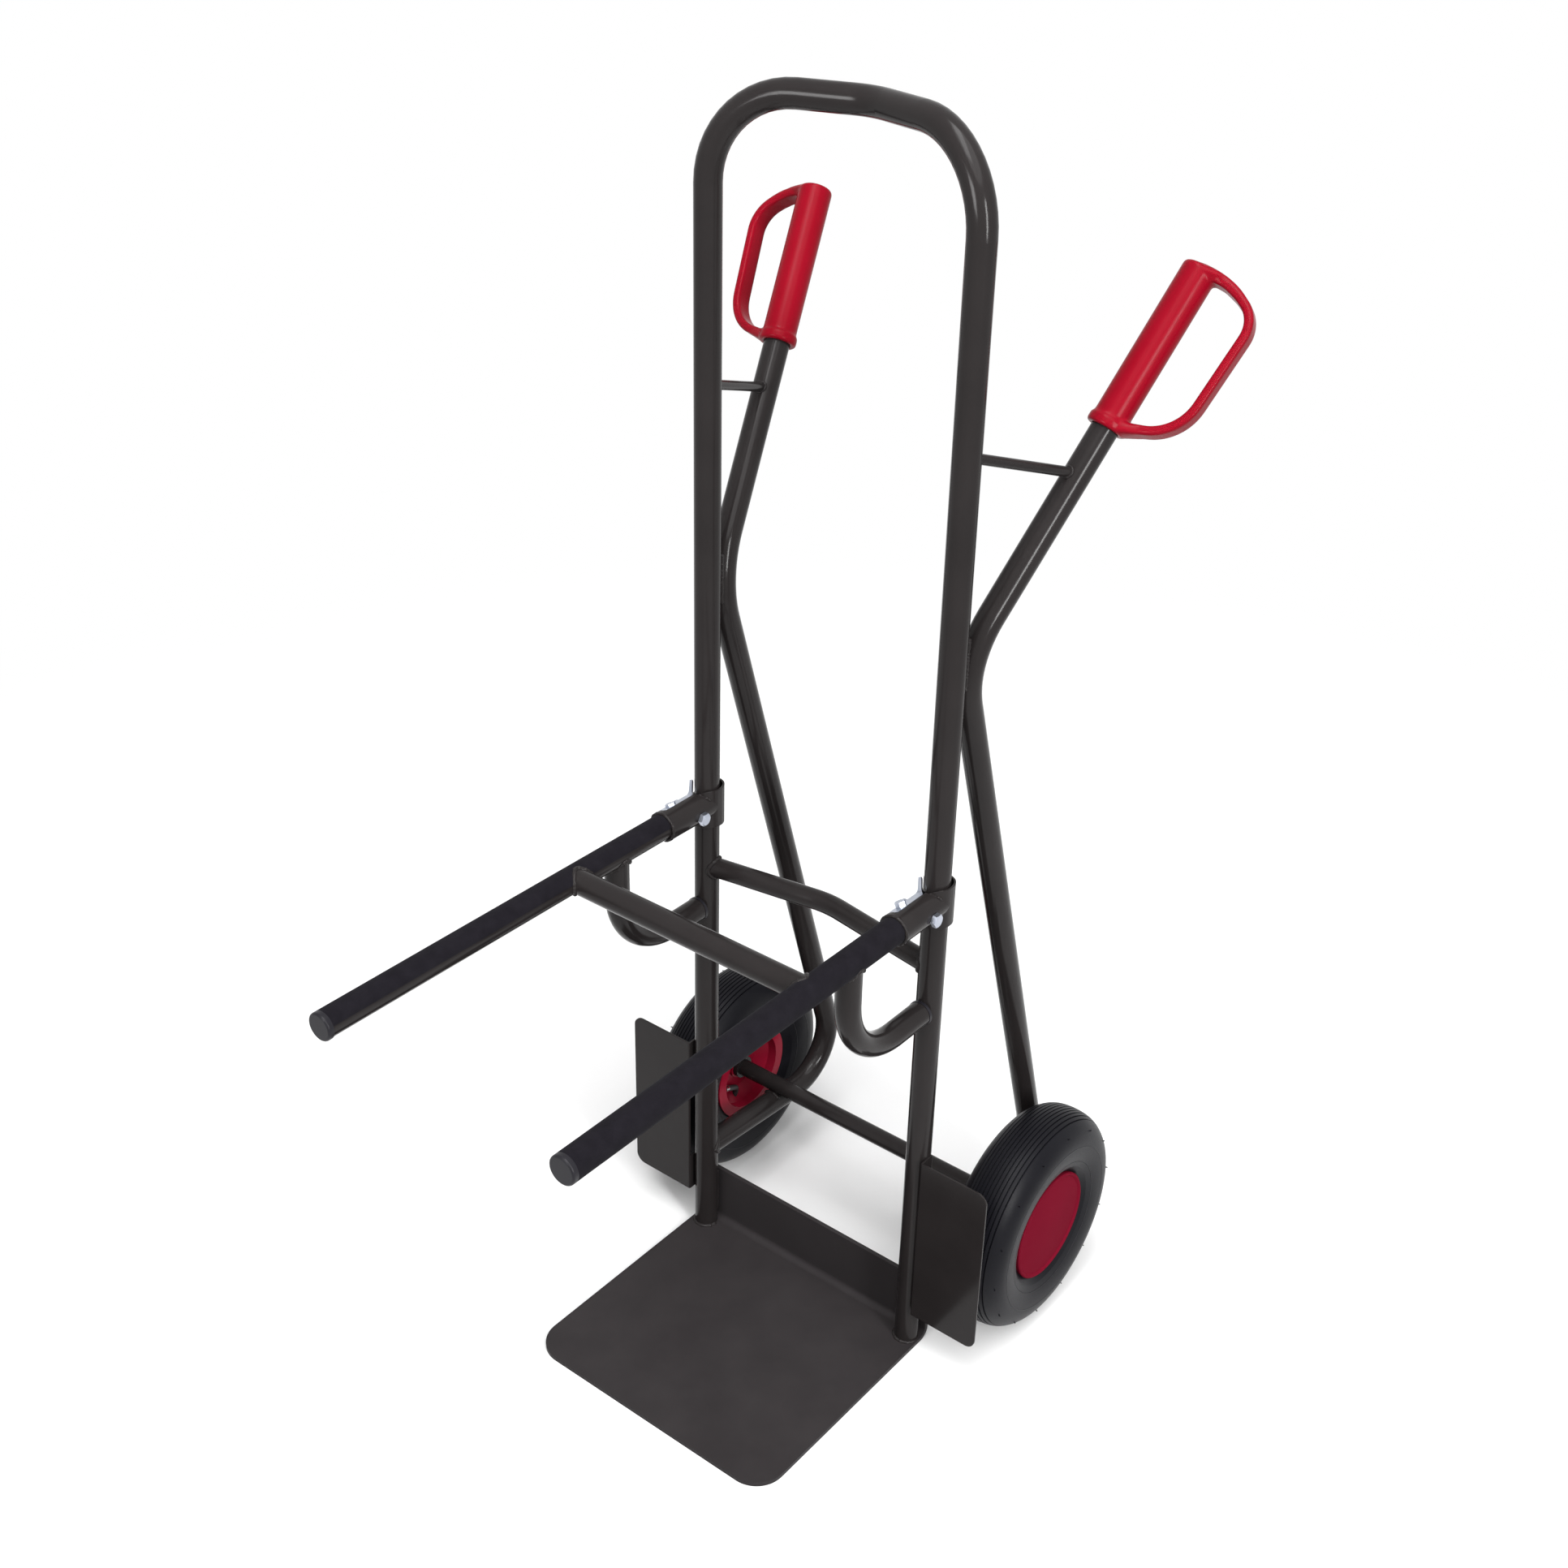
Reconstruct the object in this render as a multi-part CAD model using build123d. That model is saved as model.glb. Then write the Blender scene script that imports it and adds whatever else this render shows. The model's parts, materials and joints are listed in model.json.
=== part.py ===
"""Chair dolly: a tube frame on two tyred wheels with a fork that slides on its uprights.

Millimetres. +Z is up and -Y is the front. The origin is on the floor, midway between the uprights.
Pieces that come in pairs are drawn on the right side (+X) and mirrored to the left.
"""

import os
from math import asin, cos, degrees, hypot, radians, sin, sqrt, tan

from build123d import *

# Frame tubes
TUBE_OD = 27.0
TUBE_WALL = 2.0
UPRIGHT_X = 148.0
HOOP_Z = 1315.0
HOOP_CORNER_R = 84.0
HOOP_BOW = 45.0
HOOP_BOW_R = 60.0
RAIL_OD = 22.0
RAIL_WALL = 1.5
RAIL_Z = 507.5
RAIL_BOW = 24.0
RAIL_BOW_R = 100.0
BRACE_OD = 10.0
BRACE_TOP_Z = 1043.0

# Side tubes: the handle line runs through a fixed point, distances along it are called reach
HANDLE_POINT = (184.0, 132.5, 1000.0)
HANDLE_RISE = (32.6, 108.3, 150.0)
KNEE_REACH = -202.6
KNEE_R = 100.0
HANDLE_END_REACH = 208.0
REAR_BEND_Y = 254.2
REAR_BEND_R = 60.0
RUN_SLOPE = -0.084

# Toe plate
PLATE_MARGIN = 2.5
PLATE_FRONT_Y = -278.0
PLATE_T = 5.0
PLATE_CORNER_R = 34.0
FLANGE_TOP_Z = 78.5
FLANGE_BEND_R = 8.0
FLANGE_CORNER_R = 10.0

# Wheel guards
GUARD_T = 2.0
GUARD_OUTER_X = 245.0
GUARD_BOTTOM_Z = 54.5
GUARD_TOP_Z = 269.0
GUARD_CORNER_R = 12.0
GUARD_TAB_DEPTH = 4.0
GUARD_SLOT_BOTTOM_Z = 103.0
GUARD_SLOT_TOP_Z = 203.0

# Axle and wheels
WHEEL_R = 130.0
WHEEL_X = 213.5
AXLE_Y = 131.0
AXLE_Z = WHEEL_R
AXLE_OD = 20.0
AXLE_END_X = 239.5
AXLE_SADDLE = 0.8
HUB_OD = 32.0
HUB_FIT = 0.05
HUB_IN = -8.0
HUB_OUT = 18.0
STOP_OD = 28.0
STOP_W = 6.0
WASHER_OD = 34.0
WASHER_T = 2.5
WASHER_PLAY = 0.3
PIN_OD = 4.0
PIN_L = 30.0
RIM_T = 2.5
DISC_R = 36.0
WELL_U = 13.0
BEAD_R = 50.5
FLANGE_U = 23.5
RIM_FLANGE_H = 10.5
BEAD_U = 16.0
BEAD_H = 11.0
TYRE_HALF_W = 37.5
TYRE_WALL = 6.5
CROWN_R = 72.0
SHOULDER_R = 31.0
SIDEWALL_R = 66.0
SIDEWALL_TURN = 23.5
TREAD_PITCH = 4.6
TREAD_GROOVE_COUNT = 11
GROOVE_W = 1.4
GROOVE_DEPTH = 1.4
INNER_TUBE_RISE = 3.5
INNER_TUBE_T = 2.0
CAP_LAP = 3.0
CAP_RIM_H = 5.0
CAP_RIM_W = 2.6
CAP_RIM_EDGE = 1.2
CAP_FOOT_W = 5.0
CAP_FACE_H = 3.2
CAP_DOME_H = 6.0
CAP_T = 2.0
STEM_OD = 7.0
STEM_R = 8.0
STEM_FOOT = (-5.0, -11.9, 0.8)
STEM_TURN = (-8.0, -6.8, 24.0)
STEM_END = (-17.5, -40.5, -8.0)
VALVE_CAP_OD = 9.0
VALVE_CAP_L = 10.0

# Grips, in the handle's own frame: reach along the handle, offset outward from its axis
GRIP_R = 17.3
GRIP_BOTTOM = 46.5
GRIP_TOP = 214.5
GRIP_RING_R = 19.5
GRIP_RING_H = 10.5
GRIP_RING_EDGE_R = 2.5
GRIP_END_R = 4.0
LOOP_TURN = 9.3
LOOP_POINTS = ((0.0, 210.0), (36.0, 209.0), (71.0, 191.5), (65.0, 69.5), (5.0, 51.5))
LOOP_RADII = (60.0, 30.0, 46.0)
LOOP_T = 9.0
LOOP_W = 20.0
LOOP_EDGE_R = 3.0
LOOP_ROOT_W = 31.0
LOOP_ROOT_L = 20.0

# Fork
ARM_OD = 27.0
ARM_Z = 586.5
ARM_TIP_Y = -519.0
ARM_REAR_Y = -34.0
COVER_T = 0.8
COVER_OPEN_FROM = 161.0
COVER_OPEN_TO = 270.0
COVER_RELIEF = 1.0
ARM_CAP_L = 6.0
ARM_CAP_EDGE_R = 2.2
ARM_CAP_SPIGOT_L = 16.0
CROSS_OD = 26.0
CROSS_Y = -203.0
STAY_OD = 26.0
STAY_Y = -141.0
STAY_DROP = 128.5
STAY_R = 80.0
STAY_END_Y = -17.0
PAD_OD = 27.0
PAD_GAP = 0.3
PAD_SPIGOT_L = 12.0

# Brackets around the uprights, the same part on both sides
COLLAR_INNER_R = 14.6
COLLAR_T = 2.0
COLLAR_BACK_Y = 2.9
COLLAR_RISE = 20.3
COLLAR_DROP = 24.5
COLLAR_SLANT_Y = 0.0
SLEEVE_FRONT_Y = -70.5
STRIP_ANGLE = 117.0
STRIP_W = 12.0
STRIP_T = 2.0
STRIP_PLAY = 0.5
STRIP_FRONT_Y = -63.5
STRIP_TAPER_Y = -22.0
STRIP_KNEE_Y = -15.2
STRIP_BEND = 60.0
STRIP_BEND_R = 9.0
STRIP_RISE = 14.0
STRIP_TIP_W = 3.6
STRIP_TIP_INSET = 1.9
STRIP_CORNER_R = 1.6
STRIP_SLOT_FRONT_Y = -65.5
STRIP_SLOT_REAR_Y = -18.0
STRIP_SCREW_Y = -50.0
STRIP_SCREW_OD = 6.0
STRIP_SCREW_AF = 10.0
STRIP_SCREW_HEADS = {"right": 5.5, "left": 2.8}
BOLT_OD = 8.0
BOLT_FIT = 0.05
BOLT_Y = -26.5
BOLT_DROP = 3.0
BOLT_AF = 13.0
BOLT_HEAD_H = 5.3
NUT_H = 6.5
BOLT_PLAY = 0.2
BOLT_STUB = 3.0

TUBE_R = TUBE_OD / 2
ARM_R = ARM_OD / 2
COLLAR_R = COLLAR_INNER_R + COLLAR_T
PLATE_W = 2 * (UPRIGHT_X + TUBE_R + PLATE_MARGIN)
RIM_FLANGE_R = BEAD_R + RIM_FLANGE_H
CAP_R = RIM_FLANGE_R + CAP_LAP
STAY_Z = ARM_Z - STAY_DROP
BOLT_Z = ARM_Z - BOLT_DROP
to_left = Pos(-2 * UPRIGHT_X, 0, 0)
parts = {}


def bent_path(points, radii):
    """Centre line through corner points, with each inner corner rounded to its bend radius."""
    corners = [Vector(*point) for point in points]
    edges = []
    start = corners[0]
    for before, corner, after, radius in zip(corners, corners[1:], corners[2:], radii):
        back = (before - corner).normalized()
        ahead = (after - corner).normalized()
        half = radians(back.get_angle(ahead) / 2)
        inward = (back + ahead).normalized()
        enter = corner + back * (radius / tan(half))
        leave = corner + ahead * (radius / tan(half))
        apex = corner + inward * (radius / sin(half) - radius)
        edges += [Line(start, enter), ThreePointArc(enter, apex, leave)]
        start = leave
    edges.append(Line(start, corners[-1]))
    return Wire([edge.edge() for edge in edges])


def rod(path, diameter):
    """Solid round bar swept along a path."""
    section = Plane(origin=path @ 0, z_dir=path % 0) * Circle(diameter / 2)
    return sweep(section, path=path)


def tube(path, diameter, wall):
    """Round tube swept along a path, open at both ends."""
    return rod(path, diameter) - rod(path, diameter - 2 * wall)


def straight(start, end):
    """Straight path between two points."""
    return Wire([Line(start, end).edge()])


def bar_x(x0, x1, y, z, diameter):
    """Round bar along X between two stations."""
    return rod(straight((x0, y, z), (x1, y, z)), diameter)


def bar_y(y0, y1, x, z, diameter):
    """Round bar along Y between two stations."""
    return rod(straight((x, y0, z), (x, y1, z)), diameter)


def hex_x(x0, x1, y, z, across_flats):
    """Hexagonal prism along X, corners up and down."""
    plane = Plane(origin=(x0, y, z), x_dir=(0, 0, 1), z_dir=(1, 0, 0))
    return extrude(plane * RegularPolygon(across_flats / 2, 6, major_radius=False), amount=x1 - x0)


def sheet_profile(points, thickness):
    """Closed section of a bent sheet: the points are one face, the thickness lies on the left of travel."""
    count = len(points)
    normals = []
    for (x0, y0), (x1, y1) in zip(points, points[1:]):
        length = hypot(x1 - x0, y1 - y0)
        normals.append(((y0 - y1) / length, (x1 - x0) / length))
    offset_points = []
    for index, (x, y) in enumerate(points):
        first = normals[max(index - 1, 0)]
        second = normals[min(index, count - 2)]
        scale = thickness / (1 + first[0] * second[0] + first[1] * second[1])
        offset_points.append((x + (first[0] + second[0]) * scale, y + (first[1] + second[1]) * scale))
    return make_face(Polyline(*points, *reversed(offset_points), close=True))


def single(name, shape):
    """Keep a piece that stands alone."""
    parts[name] = shape


def pair(name, shape):
    """Keep a right-hand piece and its mirror image."""
    parts["right_" + name] = shape
    parts["left_" + name] = mirror(shape, about=Plane.YZ)


def twin(name, shape):
    """Keep a right-hand piece and the same piece on the left, not mirrored."""
    parts["right_" + name] = shape
    parts["left_" + name] = to_left * shape


# Toe plate: one bent sheet, rounded at the front corners and at the flange's ends
flange_face_y = TUBE_R
plate_rear_y = flange_face_y + PLATE_T
plate_outline = make_face(
    Polyline(
        (PLATE_FRONT_Y, 0),
        (plate_rear_y, 0),
        (plate_rear_y, FLANGE_TOP_Z),
        (flange_face_y, FLANGE_TOP_Z),
        (flange_face_y, PLATE_T),
        (PLATE_FRONT_Y, PLATE_T),
        close=True,
    )
)
inner_bend = plate_outline.vertices().sort_by_distance((flange_face_y, PLATE_T, 0))[0]
plate_outline = fillet(inner_bend, FLANGE_BEND_R)
outer_bend = plate_outline.vertices().sort_by_distance((plate_rear_y, 0, 0))[0]
plate_outline = fillet(outer_bend, FLANGE_BEND_R + PLATE_T)
toe_plate = extrude(Plane.YZ * plate_outline, amount=PLATE_W / 2, both=True)
toe_plate = fillet(toe_plate.edges().filter_by(Axis.Z).group_by(Axis.Y)[0], PLATE_CORNER_R)
toe_plate = fillet(toe_plate.edges().filter_by(Axis.Y).group_by(Axis.Z)[-1], FLANGE_CORNER_R)
single("toe_plate", toe_plate)

# Main hoop: both uprights and the bowed top bar, its feet cut to the plate's bend
hoop_path = bent_path(
    [
        (-UPRIGHT_X, 0, PLATE_T),
        (-UPRIGHT_X, 0, HOOP_Z),
        (0, HOOP_BOW, HOOP_Z),
        (UPRIGHT_X, 0, HOOP_Z),
        (UPRIGHT_X, 0, PLATE_T),
    ],
    [HOOP_CORNER_R, HOOP_BOW_R, HOOP_CORNER_R],
)
single("main_hoop", tube(hoop_path, TUBE_OD, TUBE_WALL) - toe_plate)
upright = rod(straight((UPRIGHT_X, 0, PLATE_T), (UPRIGHT_X, 0, HOOP_Z - HOOP_CORNER_R)), TUBE_OD)
both_uprights = upright + mirror(upright, about=Plane.YZ)

# Cross rail between the uprights
rail_path = bent_path(
    [(-UPRIGHT_X, 0, RAIL_Z), (0, RAIL_BOW, RAIL_Z), (UPRIGHT_X, 0, RAIL_Z)],
    [RAIL_BOW_R],
)
single("cross_rail", tube(rail_path, RAIL_OD, RAIL_WALL) - both_uprights)

# Axle and side tubes: the axle lies in a shallow saddle on the lower runs
axle = bar_x(-AXLE_END_X, AXLE_END_X, AXLE_Y, AXLE_Z, AXLE_OD)
handle_point = Vector(*HANDLE_POINT)
handle_dir = Vector(*HANDLE_RISE).normalized()
knee = handle_point + handle_dir * KNEE_REACH
handle_end = handle_point + handle_dir * HANDLE_END_REACH
run_z = AXLE_Z - (AXLE_OD / 2 + TUBE_R - AXLE_SADDLE) * hypot(1, RUN_SLOPE)
side_path = bent_path(
    [
        (UPRIGHT_X, 0, run_z - RUN_SLOPE * AXLE_Y),
        (UPRIGHT_X, REAR_BEND_Y, run_z + RUN_SLOPE * (REAR_BEND_Y - AXLE_Y)),
        tuple(knee),
        tuple(handle_end),
    ],
    [REAR_BEND_R, KNEE_R],
)
side_solid = rod(side_path, TUBE_OD)
pair("side_tube", tube(side_path, TUBE_OD, TUBE_WALL) - upright - axle)

# Braces from the uprights to the handles
brace = rod(straight((UPRIGHT_X, 0, BRACE_TOP_Z), HANDLE_POINT), BRACE_OD)
pair("brace", brace - upright - side_solid)

# Wheel guards: a flat sheet in front of the tyre, two tabs turned back along the upright
guard_x = UPRIGHT_X + TUBE_R - 0.5
guard_section = sheet_profile(
    [(GUARD_OUTER_X, -TUBE_R), (guard_x + GUARD_T, -TUBE_R), (guard_x + GUARD_T, GUARD_TAB_DEPTH)],
    GUARD_T,
)
guard = extrude(Pos(0, 0, GUARD_BOTTOM_Z) * guard_section, amount=GUARD_TOP_Z - GUARD_BOTTOM_Z)
guard_bend = guard.edges().filter_by(Axis.Z).sort_by_distance((guard_x, -TUBE_R - GUARD_T, AXLE_Z))[0]
guard = fillet(guard_bend, GUARD_T)
guard = fillet(guard.edges().filter_by(Axis.Y).group_by(Axis.X)[-1], GUARD_CORNER_R)
slot_h = GUARD_SLOT_TOP_Z - GUARD_SLOT_BOTTOM_Z
guard_slot = Pos(guard_x, GUARD_TAB_DEPTH, GUARD_SLOT_BOTTOM_Z + slot_h / 2) * Box(
    3 * GUARD_T, 2 * (GUARD_TAB_DEPTH + TUBE_R), slot_h
)
pair("wheel_guard", guard - guard_slot - upright)

# Axle ends: a stop collar inside the hub, a washer outside it and a split pin outside the washer
stop_x = WHEEL_X + HUB_IN - WASHER_PLAY - STOP_W
outer_washer_x = WHEEL_X + HUB_OUT + WASHER_PLAY
for ring_name, ring_x, ring_od, ring_w in (
    ("stop_collar", stop_x, STOP_OD, STOP_W),
    ("outer_washer", outer_washer_x, WASHER_OD, WASHER_T),
):
    ring_plane = Plane(origin=(ring_x, AXLE_Y, AXLE_Z), z_dir=(1, 0, 0))
    pair(ring_name, extrude(ring_plane * (Circle(ring_od / 2) - Circle(AXLE_OD / 2)), amount=ring_w))
pin_x = outer_washer_x + WASHER_T + PIN_OD / 2
split_pin = Pos(pin_x, AXLE_Y, AXLE_Z) * Cylinder(PIN_OD / 2, PIN_L)
pair("split_pin", split_pin)
single("axle", axle - split_pin - mirror(split_pin, about=Plane.YZ))

# Wheel sections are drawn as (distance from the wheel's middle plane, radius), outboard positive
hub_section = Pos((HUB_IN + HUB_OUT) / 2, (HUB_OD + AXLE_OD + 2 * HUB_FIT) / 4) * Rectangle(
    HUB_OUT - HUB_IN, (HUB_OD - AXLE_OD - 2 * HUB_FIT) / 2
)
rim_section = sheet_profile(
    [
        (0, HUB_OD / 2),
        (0, DISC_R),
        (WELL_U, BEAD_R),
        (FLANGE_U, BEAD_R),
        (FLANGE_U, RIM_FLANGE_R),
    ],
    -RIM_T,
)
crown_turn = degrees(asin((TYRE_HALF_W - SHOULDER_R) / (CROWN_R - SHOULDER_R)))


def tyre_line(inset):
    """Crown, shoulder and sidewall of a half section as tangent arcs, set in from the tyre's surface."""
    crown = JernArc((0, WHEEL_R - inset), (1, 0), CROWN_R - inset, -crown_turn)
    shoulder = JernArc(crown @ 1, crown % 1, SHOULDER_R - inset, crown_turn - 90)
    sidewall = JernArc(shoulder @ 1, shoulder % 1, SIDEWALL_R - inset, -SIDEWALL_TURN)
    return [crown, shoulder, sidewall]


def tread_radius(offset):
    """Radius of the tyre's surface at a distance from the middle plane."""
    shoulder_u = TYRE_HALF_W - SHOULDER_R
    if offset < CROWN_R * sin(radians(crown_turn)):
        return WHEEL_R - CROWN_R + sqrt(CROWN_R**2 - offset**2)
    shoulder_r = WHEEL_R - (CROWN_R - SHOULDER_R) * (1 - cos(radians(crown_turn))) - SHOULDER_R
    return shoulder_r + sqrt(SHOULDER_R**2 - (offset - shoulder_u) ** 2)


outer_line = tyre_line(0)
cavity_line = tyre_line(TYRE_WALL)
air_line = tyre_line(TYRE_WALL + INNER_TUBE_T)
bead_top = (BEAD_U, BEAD_R + BEAD_H)
tyre_foot = Polyline(
    outer_line[-1] @ 1,
    (FLANGE_U, BEAD_R + BEAD_H),
    (FLANGE_U, BEAD_R),
    (BEAD_U, BEAD_R),
    bead_top,
    cavity_line[-1] @ 1,
)
tyre_half = make_face([*outer_line, tyre_foot, *cavity_line, Line(cavity_line[0] @ 0, outer_line[0] @ 0)])
for step in range(TREAD_GROOVE_COUNT // 2 + 1):
    groove_u = step * TREAD_PITCH
    tyre_half -= Pos(groove_u, tread_radius(groove_u)) * Rectangle(GROOVE_W, 2 * GROOVE_DEPTH)
tyre_section = tyre_half + mirror(tyre_half, about=Plane.YZ)
tube_r = BEAD_R + INNER_TUBE_RISE
tube_foot = Polyline(cavity_line[-1] @ 1, bead_top, (BEAD_U - INNER_TUBE_T, tube_r), (0, tube_r))
air_foot = Polyline(
    air_line[-1] @ 1,
    (BEAD_U - INNER_TUBE_T, BEAD_R + BEAD_H + INNER_TUBE_T / 2),
    (BEAD_U - 2 * INNER_TUBE_T, tube_r + INNER_TUBE_T),
    (0, tube_r + INNER_TUBE_T),
)
tube_half = make_face(
    [
        *cavity_line,
        tube_foot,
        Line((0, tube_r), (0, tube_r + INNER_TUBE_T)),
        air_foot,
        *air_line,
        Line(air_line[0] @ 0, cavity_line[0] @ 0),
    ]
)
inner_tube_section = tube_half + mirror(tube_half, about=Plane.YZ)
cap_u = FLANGE_U + RIM_T
rim_u = cap_u + CAP_RIM_H
face_u = cap_u + CAP_FACE_H
face_r = CAP_R - CAP_FOOT_W
dome_u = cap_u + CAP_DOME_H
mid_u = face_u + 0.75 * (dome_u - face_u)
mid_r = face_r / 2
cap_section = make_face(
    [
        Polyline(
            (cap_u, face_r),
            (cap_u, CAP_R),
            (rim_u - CAP_RIM_EDGE, CAP_R),
            (rim_u, CAP_R - CAP_RIM_EDGE),
            (rim_u, CAP_R - CAP_RIM_W),
            (face_u, face_r),
        ),
        Spline((face_u, face_r), (mid_u, mid_r), (dome_u, 0)),
        Line((dome_u, 0), (dome_u - CAP_T, 0)),
        Spline((dome_u - CAP_T, 0), (mid_u - CAP_T, mid_r), (cap_u, face_r)),
    ]
)

# Valve stem: out of the tube, through the inner rim half, then turned forward inside the dish
cap_end = Vector(*STEM_END)
stem_foot = (STEM_FOOT[0], STEM_FOOT[1], STEM_FOOT[2] - tube_r)
stem_turn = (STEM_TURN[0], STEM_TURN[1], STEM_TURN[2] - tube_r)
stem_path = bent_path([stem_foot, stem_turn, tuple(cap_end)], [STEM_R])
stem = rod(stem_path, STEM_OD)
cap_dir = (stem_path % 1) * VALVE_CAP_L
valve_cap = rod(straight(cap_end - cap_dir * 0.6, cap_end + cap_dir * 0.4), VALVE_CAP_OD)

# Wheels
place = Pos(WHEEL_X, AXLE_Y, AXLE_Z)
inner_rim = revolve(mirror(rim_section, about=Plane.YZ), axis=Axis.X) - stem
inner_tube = revolve(inner_tube_section, axis=Axis.X) + stem
pair("tyre", place * revolve(tyre_section, axis=Axis.X))
pair("inner_tube", place * inner_tube)
pair("inner_rim", place * inner_rim)
pair("outer_rim", place * revolve(rim_section, axis=Axis.X))
pair("hub", place * revolve(hub_section, axis=Axis.X))
pair("hub_cap", place * revolve(cap_section, axis=Axis.X))
pair("valve_cap", place * (valve_cap - stem))

# Grips: a sleeve over the handle's end with a rounded top, a bottom ring and a knuckle loop
outward = (Vector(1, 0, 0) - handle_dir * handle_dir.X).normalized()
loop_dir = outward.rotate(Axis((0, 0, 0), tuple(handle_dir)), LOOP_TURN)
handle_frame = Plane(origin=handle_point, x_dir=loop_dir, z_dir=handle_dir)
on_base = (Align.CENTER, Align.CENTER, Align.MIN)
sleeve = Pos(0, 0, GRIP_BOTTOM) * Cylinder(GRIP_R, GRIP_TOP - GRIP_BOTTOM, align=on_base)
sleeve = fillet(sleeve.edges().group_by(Axis.Z)[-1], GRIP_END_R)
ring = Pos(0, 0, GRIP_BOTTOM) * Cylinder(GRIP_RING_R, GRIP_RING_H, align=on_base)
ring = fillet(ring.edges().filter_by(GeomType.CIRCLE), GRIP_RING_EDGE_R)
loop_line = [Vector(offset, 0, reach) for offset, reach in LOOP_POINTS]
top_dir = (loop_line[1] - loop_line[0]).normalized()
bottom_dir = (loop_line[-2] - loop_line[-1]).normalized()
loop_start = loop_line[0] + top_dir * LOOP_ROOT_L
loop_end = loop_line[-1] + bottom_dir * LOOP_ROOT_L


def loop_section(centre, direction, width):
    """Rounded flat section of the knuckle loop."""
    plane = Plane(origin=centre, x_dir=(0, 1, 0), z_dir=direction)
    return plane * RectangleRounded(width, LOOP_T, LOOP_EDGE_R)


loop_corners = [tuple(corner) for corner in (loop_start, *loop_line[1:-1], loop_end)]
loop_path = bent_path(loop_corners, LOOP_RADII)
loop = sweep(loop_section(loop_start, top_dir, LOOP_W), path=loop_path)
for root, strap_end, root_dir in ((loop_line[0], loop_start, top_dir), (loop_line[-1], loop_end, bottom_dir)):
    loop += loft([loop_section(root, root_dir, LOOP_ROOT_W), loop_section(strap_end, root_dir, LOOP_W)])
bore = Cylinder(TUBE_R, HANDLE_END_REACH, align=on_base)
pair("grip", handle_frame * (sleeve + ring + loop - bore))

# Fork arms, cross tube and stays
arm_solid = bar_y(ARM_TIP_Y, ARM_REAR_Y, UPRIGHT_X, ARM_Z, ARM_OD)
both_arms = arm_solid + mirror(arm_solid, about=Plane.YZ)
pair("fork_arm", arm_solid - bar_y(ARM_TIP_Y, ARM_REAR_Y, UPRIGHT_X, ARM_Z, ARM_OD - 2 * TUBE_WALL))
cross_path = straight((-UPRIGHT_X, CROSS_Y, ARM_Z), (UPRIGHT_X, CROSS_Y, ARM_Z))
single("fork_cross_tube", tube(cross_path, CROSS_OD, TUBE_WALL) - both_arms)
stay_path = bent_path(
    [(UPRIGHT_X, STAY_Y, ARM_Z), (UPRIGHT_X, STAY_Y, STAY_Z), (UPRIGHT_X, STAY_END_Y, STAY_Z)],
    [STAY_R],
)
pair("fork_stay", tube(stay_path, STAY_OD, TUBE_WALL) - arm_solid)
pad_face_y = -TUBE_R - PAD_GAP
pad = bar_y(STAY_END_Y, pad_face_y, UPRIGHT_X, STAY_Z, PAD_OD)
pad += bar_y(STAY_END_Y - PAD_SPIGOT_L, STAY_END_Y, UPRIGHT_X, STAY_Z, STAY_OD - 2 * TUBE_WALL)
pair("stay_pad", pad)

# Arm covers and end caps: the cover is a thin sleeve, open along the arm's inner lower side
cover_ring = Circle(ARM_R + COVER_T) - Circle(ARM_R)
open_angles = [COVER_OPEN_FROM + (COVER_OPEN_TO - COVER_OPEN_FROM) * step / 4 for step in range(5)]
opening = [(3 * ARM_R * cos(radians(angle)), 3 * ARM_R * sin(radians(angle))) for angle in open_angles]
cover_ring -= make_face(Polyline((0, 0), *opening, close=True))
cover_plane = Plane(origin=(UPRIGHT_X, SLEEVE_FRONT_Y, ARM_Z), x_dir=(1, 0, 0), z_dir=(0, -1, 0))
cover = extrude(cover_plane * cover_ring, amount=SLEEVE_FRONT_Y - ARM_TIP_Y)
cover -= rod(cross_path, CROSS_OD + 2 * COVER_RELIEF)
cover -= rod(straight((UPRIGHT_X, STAY_Y, ARM_Z), (UPRIGHT_X, STAY_Y, STAY_Z)), STAY_OD + 2 * COVER_RELIEF)
pair("arm_cover", cover)
arm_cap = bar_y(ARM_TIP_Y - ARM_CAP_L, ARM_TIP_Y, UPRIGHT_X, ARM_Z, ARM_OD + 2 * COVER_T)
arm_cap = fillet(arm_cap.edges().group_by(Axis.Y)[0], ARM_CAP_EDGE_R)
arm_cap += bar_y(ARM_TIP_Y, ARM_TIP_Y + ARM_CAP_SPIGOT_L, UPRIGHT_X, ARM_Z, ARM_OD - 2 * TUBE_WALL)
pair("arm_cap", arm_cap)

# Brackets: a sleeve on the arm runs into a loose collar around the upright
collar_h = COLLAR_RISE + COLLAR_DROP
from_front = (Align.CENTER, Align.MIN)
collar_plan = Circle(COLLAR_R) + Rectangle(2 * COLLAR_R, COLLAR_BACK_Y, align=from_front)
collar_plan += Pos(0, COLLAR_BACK_Y) * Circle(COLLAR_R)
collar_hole = Circle(COLLAR_INNER_R) + Rectangle(2 * COLLAR_INNER_R, COLLAR_BACK_Y, align=from_front)
collar_hole += Pos(0, COLLAR_BACK_Y) * Circle(COLLAR_INNER_R)
collar_foot = Pos(UPRIGHT_X, 0, ARM_Z - COLLAR_DROP)
bracket = extrude(collar_foot * collar_plan, amount=collar_h)
bracket += bar_y(SLEEVE_FRONT_Y, 0, UPRIGHT_X, ARM_Z, 2 * COLLAR_R)
bracket -= bar_y(SLEEVE_FRONT_Y, 0, UPRIGHT_X, ARM_Z, ARM_OD)
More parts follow.
